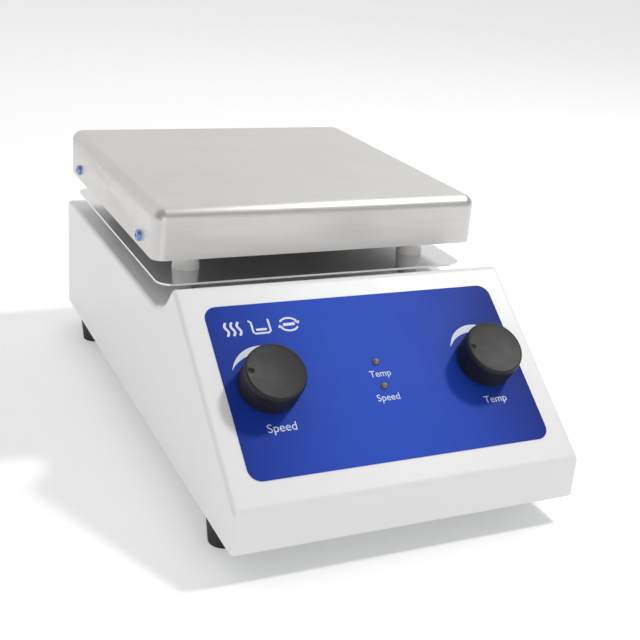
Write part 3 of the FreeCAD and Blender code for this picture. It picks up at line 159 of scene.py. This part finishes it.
# ---------------------------------------------------------------------------------------------
# Recipes for plain plastic, metal and rubber
# ---------------------------------------------------------------------------------------------

# A brushed grain's frequency along the brushing, as a share of that across it
BRUSHED = 0.02


def shaded(color, share):
    """A colour made darker or lighter by a factor, up to white."""
    return tuple(min(1.0, part * share) for part in color)


def plastic(name, color, roughness, grain_mm=0.8, relief_mm=0.01, coat=0.0):
    """Moulded plastic: faint blotches in colour and gloss over a fine texture."""
    s = Surface(name)
    variation = 0.06
    s.set(
        base_color=s.blend(s.noise(35), shaded(color, 1 - variation), shaded(color, 1 + variation)),
        roughness=s.span(s.noise(90), roughness * 0.85, roughness * 1.15),
        coat_weight=coat,
        coat_roughness=0.12,
    )
    s.bump(s.noise(1 / (grain_mm * MM), detail=3), relief_mm * MM)
    return s.material


def metal(name, color, roughness, grain_mm=0.3, relief_mm=0.004, along=None, variation=0.05):
    """Bare metal with a fine grain, drawn out along one axis if it is brushed."""
    s = Surface(name)
    stretch = tuple(BRUSHED if axis == along else 1 for axis in "XYZ")
    grain = s.noise(1 / (grain_mm * MM), detail=5, stretch=stretch)
    cloud = s.noise(28)
    fine = s.span(grain, roughness * 0.8, roughness * 1.1)
    broad = s.span(cloud, 0, roughness * 0.2)
    s.set(
        base_color=s.blend(cloud, shaded(color, 1 - variation), shaded(color, 1 + variation)),
        metallic=1.0,
        roughness=s.math("ADD", fine, broad),
    )
    s.bump(grain, relief_mm * MM)
    return s.material


def rubber(name, color, roughness=0.65):
    """Rubber with a dusty bloom and a pitted skin."""
    s = Surface(name)
    dust = s.span(s.noise(60, detail=6), 0.0, 0.5, start=0.45, end=0.75)
    dusty = shaded(tuple(part + 0.02 for part in color), 2.2)
    s.set(
        base_color=s.blend(dust, color, dusty),
        roughness=s.span(s.noise(300), roughness - 0.08, roughness + 0.12),
    )
    s.bump(s.noise(1400, detail=3), 0.02 * MM)
    return s.material


# ---------------------------------------------------------------------------------------------
# Materials with a recipe of their own
# ---------------------------------------------------------------------------------------------

def housing_plastic():
    """White moulded housing: satin, with the faint orange peel and drift in colour of a big moulding."""
    s = Surface("white_housing")
    s.set(
        base_color=s.blend(s.noise(6, detail=2), (0.83, 0.835, 0.83), (0.86, 0.86, 0.855)),
        roughness=s.span(s.noise(45, detail=5), 0.34, 0.42),
        specular_ior_level=0.45,
    )
    peel = s.bump(s.noise(520, detail=2), 0.010 * MM)
    s.bump(s.noise(9, detail=1), 0.15 * MM, under=peel)
    return s.material


def satin_plate():
    """Pressed stainless pan: brushed left to right, a slight wave in the sheet and faint smudges."""
    s = Surface("satin_plate")
    side_wall = 0.7
    facing = s.part(s.add("ShaderNodeNewGeometry").outputs["Normal"], "X")
    sideways = s.math("GREATER_THAN", s.math("ABSOLUTE", facing), side_wall)
    across = s.noise(4200, detail=6, stretch=(0.012, 1, 1), rough=0.7)
    lengthways = s.noise(4200, detail=6, stretch=(1, 0.012, 1), rough=0.7)
    grain = s.blend(sideways, across, lengthways)
    smudge = s.span(s.noise(22, detail=6, rough=0.6), 0.0, 1.0, start=0.45, end=0.68)
    streak = s.noise(160, detail=4, stretch=(0.08, 0.5, 1))
    lines = s.noise(900, detail=4, stretch=(BRUSHED, 1, 1))
    shade = s.math("ADD", s.math("MULTIPLY", smudge, 0.5), s.span(lines, -0.35, 0.35))
    broad = s.math("MULTIPLY", s.span(streak, 0, 1), 0.05)
    s.set(
        base_color=s.blend(shade, (0.66, 0.65, 0.635), (0.60, 0.59, 0.575)),
        metallic=1.0,
        roughness=s.math("ADD", s.span(grain, 0.29, 0.41), broad),
        anisotropic=0.5,
        tangent=s.add("ShaderNodeTangent", direction_type="RADIAL", axis="X").outputs["Tangent"],
    )
    fine = s.bump(grain, 0.014 * MM)
    s.bump(s.noise(12, detail=1), 0.12 * MM, under=fine)
    return s.material


def mirror_shield():
    """Polished stainless sheet with hairline scratches and a little haze."""
    s = Surface("polished_shield")
    hair = s.noise(2600, detail=8, stretch=(0.01, 1, 1), rough=0.8)
    scratches = s.math("MULTIPLY", s.span(hair, 0, 1, start=0.6, end=0.8), 0.08)
    haze = s.noise(40, detail=5)
    s.set(
        base_color=s.blend(haze, (0.70, 0.695, 0.71), (0.77, 0.765, 0.775)),
        metallic=1.0,
        roughness=s.math("ADD", s.span(haze, 0.12, 0.17), scratches),
    )
    s.bump(s.noise(11, detail=1), 0.15 * MM)
    return s.material


def enamel():
    """Light grey heat-resistant enamel on the tray, speckled and a little browned."""
    s = Surface("grey_enamel")
    s.set(
        base_color=s.blend(s.noise(14, detail=5), (0.60, 0.595, 0.60), (0.68, 0.66, 0.64)),
        roughness=s.span(s.noise(240, detail=4), 0.35, 0.6),
    )
    s.bump(s.noise(900, detail=4), 0.03 * MM)
    return s.material


def porcelain():
    """Glazed white porcelain: soft inside, wet glaze outside, a few pin marks."""
    s = Surface("glazed_porcelain")
    pin = s.span(s.cells(900), 1.0, 0.0, start=0.0, end=0.05)
    clean = s.blend(s.noise(120, detail=3), (0.87, 0.86, 0.845), (0.93, 0.925, 0.91))
    s.set(
        base_color=s.blend(s.math("MULTIPLY", pin, 0.4), clean, (0.45, 0.42, 0.38)),
        roughness=0.22,
        coat_weight=0.8,
        coat_roughness=0.06,
        subsurface_weight=0.25,
        subsurface_radius=(0.0012, 0.0011, 0.0009),
    )
    s.bump(s.noise(420, detail=2), 0.02 * MM)
    return s.material


def label_film():
    """Blue printed polycarbonate film, satin, with painted light: the blue is painted lighter in the middle and
    deeper towards both ends, in place of a lamp's broad reflection and its fall-off.
    """
    s = Surface("blue_film")
    # Painted light: the base colour is lightest at this x and darkens with the square of the distance from it.
    # This gives a painted reflection in the middle and painted shade towards both ends.
    painted_sheen_middle = -5 * MM
    painted_sheen_reach = 79 * MM
    along = s.math("DIVIDE", s.math("SUBTRACT", s.part(s.place, "X"), painted_sheen_middle), painted_sheen_reach)
    painted_sheen_falloff = s.span(s.math("MULTIPLY", along, along), 0.0, 1.0, start=0.0, end=1.0)
    mottle = s.span(s.noise(26, detail=5), -0.03, 0.03)
    # The base colour blends from the painted-light blue in the middle to the painted-shade blue at the ends, with
    # a little random mottle.
    s.set(
        base_color=s.blend(s.math("ADD", painted_sheen_falloff, mottle), (0.020, 0.078, 0.54), (0.007, 0.024, 0.24)),
        roughness=s.span(s.noise(70, detail=5), 0.47, 0.51),
        specular_ior_level=0.10,
    )
    s.bump(s.noise(2400, detail=2), 0.004 * MM)
    return s.material


def print_ink():
    """White screen-printed ink, faintly blue, that doesn't cover quite evenly."""
    s = Surface("white_ink")
    s.set(
        base_color=s.blend(s.noise(700, detail=4), (0.66, 0.72, 0.86), (0.80, 0.84, 0.93)),
        roughness=s.span(s.noise(300), 0.42, 0.58),
    )
    s.bump(s.noise(3000, detail=2), 0.004 * MM)
    return s.material


def knob_plastic():
    """Black moulded knob: satin skin with a fine spark-eroded texture, rubbed shinier in patches."""
    s = Surface("knob_black")
    rub = s.noise(150, detail=4)
    s.set(
        base_color=s.blend(rub, (0.0100, 0.0096, 0.0112), (0.0135, 0.013, 0.0148)),
        roughness=s.span(rub, 0.46, 0.52),
        specular_ior_level=0.36,
    )
    s.bump(s.noise(3600, detail=3), 0.018 * MM)
    return s.material


def blue_zinc():
    """Blue zinc plating, paler where it is thin."""
    s = Surface("blue_zinc")
    drift = s.span(s.noise(500, detail=4), 0, 1, start=0.4, end=0.75)
    s.set(
        base_color=s.blend(drift, (0.16, 0.30, 0.66), (0.50, 0.58, 0.70)),
        metallic=1.0,
        roughness=s.span(s.noise(2500, detail=3), 0.18, 0.32),
    )
    s.bump(s.noise(3500, detail=3), 0.006 * MM)
    return s.material


def lamp_lens():
    """Amber diffused lens of a lamp that is off."""
    s = Surface("amber_lens")
    s.set(
        base_color=s.blend(s.noise(900, detail=3), (0.20, 0.13, 0.075), (0.34, 0.23, 0.14)),
        roughness=0.25,
        subsurface_weight=0.4,
        subsurface_radius=(0.0008, 0.0005, 0.0003),
        coat_weight=0.5,
    )
    s.bump(s.noise(2500, detail=2), 0.01 * MM)
    return s.material


def mineral_fibre():
    """Pressed pad of pale fibres."""
    s = Surface("mineral_fibre")
    strands = s.noise(1500, detail=8, stretch=(0.15, 1, 1), rough=0.75)
    s.set(base_color=s.blend(strands, (0.62, 0.60, 0.54), (0.86, 0.84, 0.78)), roughness=0.95)
    s.bump(strands, 0.2 * MM)
    return s.material


def circuit_board():
    """Green solder mask over a faint pattern of tracks."""
    s = Surface("circuit_board")
    tracks = s.add("ShaderNodeTexBrick")
    s.put(tracks, "Vector", s.place)
    s.put(tracks, "Scale", 90.0)
    s.put(tracks, "Mortar Size", 0.06)
    s.put(tracks, "Color1", (0.010, 0.090, 0.040))
    s.put(tracks, "Color2", (0.012, 0.105, 0.048))
    s.put(tracks, "Mortar", (0.022, 0.150, 0.070))
    s.set(base_color=tracks.outputs["Color"], roughness=s.span(s.noise(200), 0.28, 0.4))
    s.bump(tracks.outputs["Fac"], 0.03 * MM)
    return s.material


def clear_glass():
    """Glass tube of the fuse."""
    s = Surface("fuse_glass")
    s.set(
        base_color=s.blend(s.noise(200), (0.80, 0.85, 0.85), (0.90, 0.93, 0.93)),
        roughness=0.05,
        transmission_weight=0.9,
    )
    s.bump(s.noise(800, detail=2), 0.002 * MM)
    return s.material


# ---------------------------------------------------------------------------------------------
# The CAD pieces, each in the material of its slot in the record
# ---------------------------------------------------------------------------------------------

MATERIALS = {
    # housing and feet
    "white_plastic": housing_plastic(),
    "floor_steel": metal("galvanised_floor", (0.50, 0.51, 0.52), 0.42, grain_mm=4, relief_mm=0.02,
                         variation=0.15),
    "black_rubber": rubber("foot_rubber", (0.012, 0.012, 0.013)),
    "zinc_steel": metal("zinc_steel", (0.62, 0.63, 0.66), 0.28),
    # hot plate and shield
    "blue_zinc": blue_zinc(),
    "satin_stainless": satin_plate(),
    "mirror_stainless": mirror_shield(),
    "dark_enamel": enamel(),
    "white_porcelain": porcelain(),
    "cast_aluminium": metal("cast_aluminium", (0.60, 0.60, 0.61), 0.5, grain_mm=1.2, relief_mm=0.06),
    "element_steel": metal("oxidised_steel", (0.22, 0.20, 0.19), 0.5, grain_mm=0.6, relief_mm=0.02,
                           variation=0.2),
    "fibre_pad": mineral_fibre(),
    "galvanised_steel": metal("galvanised_sheet", (0.56, 0.58, 0.60), 0.38, grain_mm=5, relief_mm=0.02,
                              variation=0.18),
    # drive
    "motor_black": plastic("motor_paint", (0.022, 0.022, 0.024), 0.4, grain_mm=0.5, coat=0.3),
    "bearing_steel": metal("ground_steel", (0.66, 0.66, 0.67), 0.14, along="Z"),
    "lamination_steel": metal("laminations", (0.30, 0.31, 0.33), 0.45, grain_mm=0.5, relief_mm=0.05),
    "copper_wire": metal("enamelled_copper", (0.62, 0.24, 0.10), 0.25, grain_mm=0.4, relief_mm=0.1,
                         along="Z"),
    "ferrite": plastic("ferrite", (0.035, 0.034, 0.036), 0.55, grain_mm=0.4, relief_mm=0.03),
    "magnet_nickel": metal("nickel_plate", (0.70, 0.67, 0.60), 0.12),
    # panel and controls
    "blue_film": label_film(),
    "knob_black": knob_plastic(),
    "pot_grey": plastic("potentiometer_grey", (0.06, 0.062, 0.066), 0.5),
    "amber_lens": lamp_lens(),
    "circuit_board": circuit_board(),
    # power and wiring
    "inlet_black": plastic("inlet_black", (0.020, 0.020, 0.021), 0.42, grain_mm=0.4, relief_mm=0.02),
    "contact_brass": metal("contact_brass", (0.72, 0.55, 0.24), 0.25, along="Y"),
    "fuse_glass": clear_glass(),
    "nylon": plastic("nylon", (0.72, 0.71, 0.66), 0.45),
    "transformer_core": metal("transformer_core", (0.26, 0.26, 0.27), 0.5, grain_mm=0.5, relief_mm=0.05,
                              along="X"),
    "black_aluminium": metal("anodised_black", (0.05, 0.05, 0.055), 0.35, along="Z"),
    "epoxy_black": plastic("epoxy_black", (0.018, 0.018, 0.018), 0.3),
    "terminal_green": plastic("terminal_green", (0.03, 0.22, 0.08), 0.45),
    "capacitor_sleeve": plastic("capacitor_sleeve", (0.012, 0.018, 0.07), 0.2, coat=0.4),
    "silicone_wire": rubber("silicone_red", (0.32, 0.03, 0.02), 0.45),
    "pvc_wire": rubber("pvc_black", (0.015, 0.015, 0.015), 0.4),
    "silicone_grommet": rubber("silicone_grommet", (0.36, 0.10, 0.05), 0.5),
    "ribbon_grey": plastic("ribbon_grey", (0.35, 0.35, 0.36), 0.45),
}

slot_of = {part["node"]: part["material_slot"] for part in frame["record"]["subparts"]}
for node_name, cad_object in frame["nodes"].items():
    cad_object.data.materials.clear()
    cad_object.data.materials.append(MATERIALS[slot_of[node_name]])


# ---------------------------------------------------------------------------------------------
# The panel's own frame: x to the right, y up the slope, z out of it, from between the knobs
# ---------------------------------------------------------------------------------------------

joints = {joint["name"]: joint for joint in frame["joints"]}
SPEED_AXIS = Vector(joints["speed_knob_turn"]["pos_m"])
TEMP_AXIS = Vector(joints["temp_knob_turn"]["pos_m"])
OUTWARD = -Vector(joints["speed_knob_turn"]["axis"]).normalized()
RIGHT = Vector((1, 0, 0))
UPWARD = OUTWARD.cross(RIGHT)
MIDDLE = (SPEED_AXIS + TEMP_AXIS) / 2
PANEL = Matrix.Translation(MIDDLE) @ Matrix((RIGHT, UPWARD, OUTWARD)).transposed().to_4x4()


def panel_box(node):
    """Lowest and highest corner of a CAD node in the panel's frame."""
    back = PANEL.inverted()
    points = [back @ vertex.co for vertex in frame["nodes"][node].data.vertices]
    low = Vector(tuple(min(point[axis] for point in points) for axis in range(3)))
    high = Vector(tuple(max(point[axis] for point in points) for axis in range(3)))
    return low, high


def new_piece(name, mesh, material, body):
    """Add a mesh that already lies in the frame of the whole stirrer."""
    mesh.materials.append(material)
    piece = add_object(name, mesh)
    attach(piece, body)
    return piece


def smooth(mesh, limit_degrees):
    """Shade smooth, with creases kept sharp."""
    for polygon in mesh.polygons:
        polygon.use_smooth = True
    work = bmesh.new()
    work.from_mesh(mesh)
    for edge in work.edges:
        edge.smooth = len(edge.link_faces) == 2 and edge.calc_face_angle() < math.radians(limit_degrees)
    work.to_mesh(mesh)
    work.free()


# ---------------------------------------------------------------------------------------------
# Knobs
# ---------------------------------------------------------------------------------------------

RIDGES = 72
STEPS_PER_RIDGE = 4
RIDGE_DEPTH = 0.28 * MM
CREASE_DEGREES = 50

DIMPLE_CLOCK = math.radians(172)
DIMPLE_RING = 11.2 * MM
DIMPLE_RADIUS = 1.1 * MM
DIMPLE_DEPTH = 0.7 * MM

SHOULDER = 2.6 * MM
SHOULDER_STEPS = 6
FACE_INSET = 1.0 * MM
RIM_WIDTH = 0.35 * MM
RIM_DROP = 0.07 * MM
DISH_DEPTH = 0.7 * MM
DISH_STEPS = 24

BORE = 3 * MM
CAP = 1.1 * MM
SKIRT_BORE = 7.5 * MM
SKIRT_DEPTH = 4 * MM


def knob_profile(radius, height):
    """Points (radius, height, ridge share) from the bore's floor, over the outside, to the face's middle."""
    edge = radius - FACE_INSET
    rim = edge - RIM_WIDTH
    rim_height = height - RIM_DROP
    points = [
        # bore and the wider hollow under the skirt
        (BORE, height - CAP, 0),
        (BORE, SKIRT_DEPTH, 0),
        (SKIRT_BORE, SKIRT_DEPTH, 0),
        (SKIRT_BORE, 0, 0),
        # rounded bottom edge
        (radius - 0.9 * MM, 0, 0),
        (radius - 0.35 * MM, 0.2 * MM, 0),
        (radius - 0.1 * MM, 0.6 * MM, 0),
        # ridges, fading at both ends
        (radius, 1.0 * MM, 0.6),
        (radius, 1.6 * MM, 1),
        (radius, height - SHOULDER - 0.8 * MM, 1),
        (radius, height - SHOULDER - 0.3 * MM, 0.5),
        (radius, height - SHOULDER, 0),
    ]
    for step in range(1, SHOULDER_STEPS + 1):
        turn = math.radians(90 * step / SHOULDER_STEPS)
        inward = FACE_INSET * (1 - math.cos(turn))
        points.append((radius - inward, height - SHOULDER * (1 - math.sin(turn)), 0))
    points.append((edge - 0.15 * MM, height - 0.01 * MM, 0))
    points.append((rim, rim_height, 0))
    for step in range(1, DISH_STEPS + 1):
        outward = 1 - step / DISH_STEPS
        points.append((rim * outward, rim_height - DISH_DEPTH * (1 - outward ** 2), 0))
    return points


def dimple_drop(x, y):
    """How far the round dimple lowers the knob's face at a point."""
    middle = Vector((DIMPLE_RING * math.cos(DIMPLE_CLOCK), DIMPLE_RING * math.sin(DIMPLE_CLOCK)))
    away = (Vector((x, y)) - middle).length / DIMPLE_RADIUS
    return DIMPLE_DEPTH * math.sqrt(1 - away * away) if away < 1 else 0.0


def build_knob(node, axis):
    """Turned knob with ridges and a dimple, in place of the plain CAD one of the same size."""
    low, high = panel_box(node)
    radius = (high.x - low.x) / 2
    height = high.z - low.z
    around = RIDGES * STEPS_PER_RIDGE
    place = Matrix.Translation(axis - MIDDLE) @ PANEL @ Matrix.Translation((0, 0, low.z))
    profile = knob_profile(radius, height)
    work = bmesh.new()
    bore_middle = work.verts.new(place @ Vector((0, 0, profile[0][1])))
    face_middle = work.verts.new(place @ Vector((0, 0, profile[-1][1])))
    rings = []
    for ring_radius, z, ridged in profile[:-1]:
        on_face = z > height - CAP and ring_radius < radius - FACE_INSET
        ring = []
        for index in range(around):
            turn = 2 * math.pi * index / around
            wave = 0.5 - 0.5 * math.cos(turn * RIDGES)
            here = ring_radius - RIDGE_DEPTH * ridged * wave
            x, y = here * math.cos(turn), here * math.sin(turn)
            drop = dimple_drop(x, y) if on_face else 0.0
            ring.append(work.verts.new(place @ Vector((x, y, z - drop))))
        rings.append(ring)
    for index in range(around):
        after = (index + 1) % around
        for first, second in zip(rings, rings[1:]):
            work.faces.new((first[index], first[after], second[after], second[index]))
        work.faces.new((rings[-1][index], rings[-1][after], face_middle))
        work.faces.new((rings[0][index], bore_middle, rings[0][after]))
    bmesh.ops.recalc_face_normals(work, faces=work.faces)
    mesh = bpy.data.meshes.new("turned_" + node)
    work.to_mesh(mesh)
    work.free()
    smooth(mesh, CREASE_DEGREES)
    piece = new_piece(node + "_moulding", mesh, MATERIALS["knob_black"], node)
    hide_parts(node)


build_knob("speed_knob", SPEED_AXIS)
build_knob("temp_knob", TEMP_AXIS)


# ---------------------------------------------------------------------------------------------
# Print on the label, in millimetres on the panel
# ---------------------------------------------------------------------------------------------

INK = print_ink()
INK_BOTTOM = panel_box("front_label")[1].z + 0.01 * MM
INK_THICKNESS = 0.03 * MM

# A stroke's rounded end: how many steps, and the least share of the width, so that no side vanishes
END_STEPS = 6
END_LEAST = 0.05

# The crescents: angles in degrees clockwise from straight up, radii from the knob's axis
CRESCENT_START = -54
CRESCENT_END = 78
CRESCENT_INNER = 16.8
CRESCENT_WIDEST = 4.1
CRESCENT_LEAST = 0.06
CRESCENT_STEPS = 48

ICON_LINE = 0.95


def add_strip(work, left, right):
    """A thin closed ribbon between two rows of panel points."""
    rows = []
    for level in (INK_BOTTOM, INK_BOTTOM + INK_THICKNESS):
        for side in (left, right):
            rows.append([work.verts.new(PANEL @ Vector((x * MM, y * MM, level))) for x, y in side])
    low_left, low_right, top_left, top_right = rows
    last = len(left) - 1
    for i in range(last):
        work.faces.new((top_left[i], top_right[i], top_right[i + 1], top_left[i + 1]))
        work.faces.new((low_left[i], low_left[i + 1], low_right[i + 1], low_right[i]))
        work.faces.new((low_left[i], top_left[i], top_left[i + 1], low_left[i + 1]))
        work.faces.new((low_right[i], low_right[i + 1], top_right[i + 1], top_right[i]))
    for i in (0, last):
        work.faces.new((low_left[i], low_right[i], top_right[i], top_left[i]))


def add_stroke(work, points, width):
    """A ribbon of even width along a line of points, with rounded ends."""
    spots = [Vector(point) for point in points]
    left, right = [], []

    def direction_at(index):
        before = spots[max(0, index - 1)]
        after = spots[min(len(spots) - 1, index + 1)]
        return (after - before).normalized()

    def widen(centre, along, share):
        aside = Vector((-along.y, along.x)) * (width / 2 * share)
        left.append(centre + aside)
        right.append(centre - aside)

    def round_end(index, outward, steps):
        along = direction_at(index)
        for step in steps:
            turn = math.radians(90) * step / END_STEPS
            centre = spots[index] + along * (outward * width / 2 * math.cos(turn))
            widen(centre, along, max(math.sin(turn), END_LEAST))

    round_end(0, -1, range(END_STEPS))
    for index, spot in enumerate(spots):
        widen(spot, direction_at(index), 1)
    round_end(len(spots) - 1, 1, reversed(range(END_STEPS)))
    add_strip(work, left, right)


def finish_print(name, work):
    bmesh.ops.recalc_face_normals(work, faces=work.faces)
    mesh = bpy.data.meshes.new(name)
    work.to_mesh(mesh)
    work.free()
    new_piece(name, mesh, INK, "stirrer")


def clock(degrees, radius):
    """Point on a circle, with the angle turning clockwise from straight up the panel."""
    turn = math.radians(degrees)
    return Vector((radius * math.sin(turn), radius * math.cos(turn)))


def print_crescent(name, axis_x):
    """Band round a knob that swells and thins again: low to high."""
    work = bmesh.new()
    centre = Vector((axis_x, 0))
    left, right = [], []
    for step in range(CRESCENT_STEPS + 1):
        share = step / CRESCENT_STEPS
        angle = CRESCENT_START + (CRESCENT_END - CRESCENT_START) * share
        swell = CRESCENT_WIDEST * math.cos(math.radians(90 * (2 * share - 1)))
        left.append(centre + clock(angle, CRESCENT_INNER))
        right.append(centre + clock(angle, CRESCENT_INNER + max(swell, CRESCENT_LEAST)))
    add_strip(work, left, right)
    finish_print(name, work)


def print_heat_waves(work, x, y, height):
    """Three upright waves side by side."""
    spacing = 2.9
    swing = 0.65
    steps = 16
    for column in range(3):
        middle = x + column * spacing
        shares = [step / steps for step in range(steps + 1)]
        wave = [(middle + swing * math.sin(share * 2 * math.pi), y + share * height) for share in shares]
        add_stroke(work, wave, width=1.15)


def print_beaker(work, x, y, width, height):
    """An open beaker with a lip at its left and a stirring bar in it."""
    corner = 0.9
    outline = [
        (x - 0.8, y + height),
        (x + 0.1, y + height - 0.7),
        (x + 0.1, y + corner),
        (x + corner, y),
        (x + width - corner, y),
        (x + width, y + corner),
        (x + width, y + height),
    ]
    add_stroke(work, outline, ICON_LINE)
    bar_inset, bar_level = 2.2, y + 1.9
    add_stroke(work, [(x + bar_inset, bar_level), (x + width - bar_inset, bar_level)], width=1.2)


def print_turn_arrows(work, x, y, radius):
    """Two arrows chasing each other round a short bar."""
    start, sweep, steps = 25, 120, 14
    flatness = 1.35
    head = 1.5
    point = 0.03
    half_bar = 2.2
    for flip in (1, -1):
        arc = []
        for step in range(steps + 1):
            turn = math.radians(start + sweep * step / steps)
            arc.append((x + flip * radius * flatness * math.cos(turn), y + flip * radius * math.sin(turn)))
        add_stroke(work, arc, ICON_LINE)
        foot = Vector(arc[0])
        tip = foot + Vector((flip * head / 2, -flip * head))
        left = [tip + Vector((-point, 0)), foot + Vector((-flip * head, 0))]
        right = [tip + Vector((point, 0)), foot + Vector((flip * head, 0))]
        add_strip(work, left, right)
    add_stroke(work, [(x - half_bar, y), (x + half_bar, y)], width=1.5)


def print_icons():
    """Heat waves, a beaker and turning arrows, side by side at the top left."""
    work = bmesh.new()
    print_heat_waves(work, x=-65.5, y=27.2, height=6.2)
    print_beaker(work, x=-53.6, y=27.0, width=8.4, height=6.6)
    print_turn_arrows(work, x=-35.8, y=30.3, radius=3.3)
    finish_print("panel_icons", work)


def print_word(name, text, x, y, width):
    """A word centred on a panel point, at a given width."""
    curve = bpy.data.curves.new(name + "_curve", "FONT")
    curve.body = text
    curve.align_x = "CENTER"
    curve.align_y = "CENTER"
    curve.extrude = 0.02
    writer = add_object(name + "_curve", curve)
    bpy.context.view_layer.update()
    mesh = bpy.data.meshes.new_from_object(writer.evaluated_get(bpy.context.evaluated_depsgraph_get()))
    bpy.data.objects.remove(writer)
    low = Vector(tuple(min(vertex.co[axis] for vertex in mesh.vertices) for axis in range(3)))
    high = Vector(tuple(max(vertex.co[axis] for vertex in mesh.vertices) for axis in range(3)))
    middle = (low + high) / 2
    scale = width * MM / (high.x - low.x)
    for vertex in mesh.vertices:
        lift = (vertex.co.z - low.z) / (high.z - low.z)
        vertex.co = PANEL @ Vector((
            x * MM + (vertex.co.x - middle.x) * scale,
            y * MM + (vertex.co.y - middle.y) * scale,
            INK_BOTTOM + INK_THICKNESS * lift,
        ))
    mesh.name = name
    new_piece(name, mesh, INK, "stirrer")


KNOB_X = (TEMP_AXIS.x - MIDDLE.x) / MM
print_crescent("speed_scale", -KNOB_X)
print_crescent("temp_scale", KNOB_X)
print_icons()
print_word("word_speed_knob", "Speed", -KNOB_X + 1.0, -20.2, 13.4)
print_word("word_temp_knob", "Temp", KNOB_X - 1.1, -19.9, 11.9)
print_word("word_temp_lamp", "Temp", 0.2, -0.1, 10.6)
print_word("word_speed_lamp", "Speed", 0.2, -12.3, 11.2)


# ---------------------------------------------------------------------------------------------
# Studio: pale floor, soft lights, camera
# ---------------------------------------------------------------------------------------------

FLOOR_HALF = 6

# The studio's walls grow brighter from front to back, between these two values of a direction's y
WALL_FRONT = -0.2
WALL_BACK = 0.5
FRONT_LIGHT = 0.37
BACK_LIGHT = 0.90

CAMERA_AZIMUTH = math.radians(-25.98)
CAMERA_ELEVATION = math.radians(21.30)
CAMERA_ROLL = math.radians(4.82)
CAMERA_TARGET = Vector((1.7, -86.0, 65.0)) * MM
CAMERA_DISTANCE = 555.1 * MM


def build_floor():
    """Pale matt floor that glows a little, so that it runs into the white behind it."""
    mesh = bpy.data.meshes.new("studio_floor")
    corners = [(x * FLOOR_HALF, y * FLOOR_HALF, 0) for x, y in ((-1, -1), (1, -1), (1, 1), (-1, 1))]
    mesh.from_pydata(corners, [], [(0, 1, 2, 3)])
    s = Surface("studio_floor")
    s.set(
        base_color=s.blend(s.noise(3), (0.91, 0.91, 0.91), (0.93, 0.93, 0.93)),
        roughness=0.9,
        specular_ior_level=0.0,
        emission_color=(1, 1, 1),
        emission_strength=0.25,
    )
    mesh.materials.append(s.material)
    add_object("studio_floor", mesh)


def add_softbox(name, place, target, size, power):
    """A rectangular lamp that faces a target, in metres and watts."""
    light = bpy.data.lights.new(name, "AREA")
    light.shape = "RECTANGLE"
    light.size, light.size_y = size
    light.energy = power
    lamp = add_object(name, light)
    lamp.location = place
    lamp.rotation_mode = "QUATERNION"
    lamp.rotation_quaternion = (Vector(target) - Vector(place)).to_track_quat("-Z", "Y")


def build_world():
    """Studio walls, brighter behind the object for the plate to reflect, and plain white to the camera."""
    world = bpy.data.worlds.new("studio")
    bpy.context.scene.world = world
    world.use_nodes = True
    g = Graph(world.node_tree)
    depth = g.part(g.add("ShaderNodeTexCoord").outputs["Generated"], "Y")
    walls = g.span(depth, FRONT_LIGHT, BACK_LIGHT, start=WALL_FRONT, end=WALL_BACK)
    seen = g.add("ShaderNodeLightPath").outputs["Is Camera Ray"]
    background = g.add("ShaderNodeBackground")
    g.put(background, "Color", (1, 1, 1))
    g.put(background, "Strength", g.math("MAXIMUM", walls, seen))
    g.put(g.add("ShaderNodeOutputWorld"), "Surface", background.outputs["Background"])


def build_camera():
    """From the front left, a little above, turned slightly anticlockwise."""
    data = bpy.data.cameras.new("camera")
    data.lens = 61.8
    data.sensor_width = 36
    data.clip_start = 0.01
    camera = add_object("camera", data)
    back = Vector((
        math.sin(CAMERA_AZIMUTH) * math.cos(CAMERA_ELEVATION),
        -math.cos(CAMERA_AZIMUTH) * math.cos(CAMERA_ELEVATION),
        math.sin(CAMERA_ELEVATION),
    ))
    level = (-back).to_track_quat("-Z", "Y")
    camera.location = CAMERA_TARGET + back * CAMERA_DISTANCE
    camera.rotation_mode = "QUATERNION"
    camera.rotation_quaternion = level @ Quaternion((0, 0, 1), CAMERA_ROLL)
    bpy.context.scene.camera = camera


build_floor()
build_world()
add_softbox("key_light", place=(0.75, -0.25, 1.35), target=(0, -0.10, 0.06), size=(0.18, 0.18), power=9.4)
add_softbox("left_fill", place=(-1.7, -0.2, 0.25), target=(0, -0.05, 0.06), size=(1.2, 0.4), power=0.5)
add_softbox("front_fill", place=(-0.2, -1.8, 0.42), target=(0, -0.05, 0.09), size=(1.4, 0.3), power=3)
build_camera()
bpy.context.scene.view_settings.view_transform = "Standard"
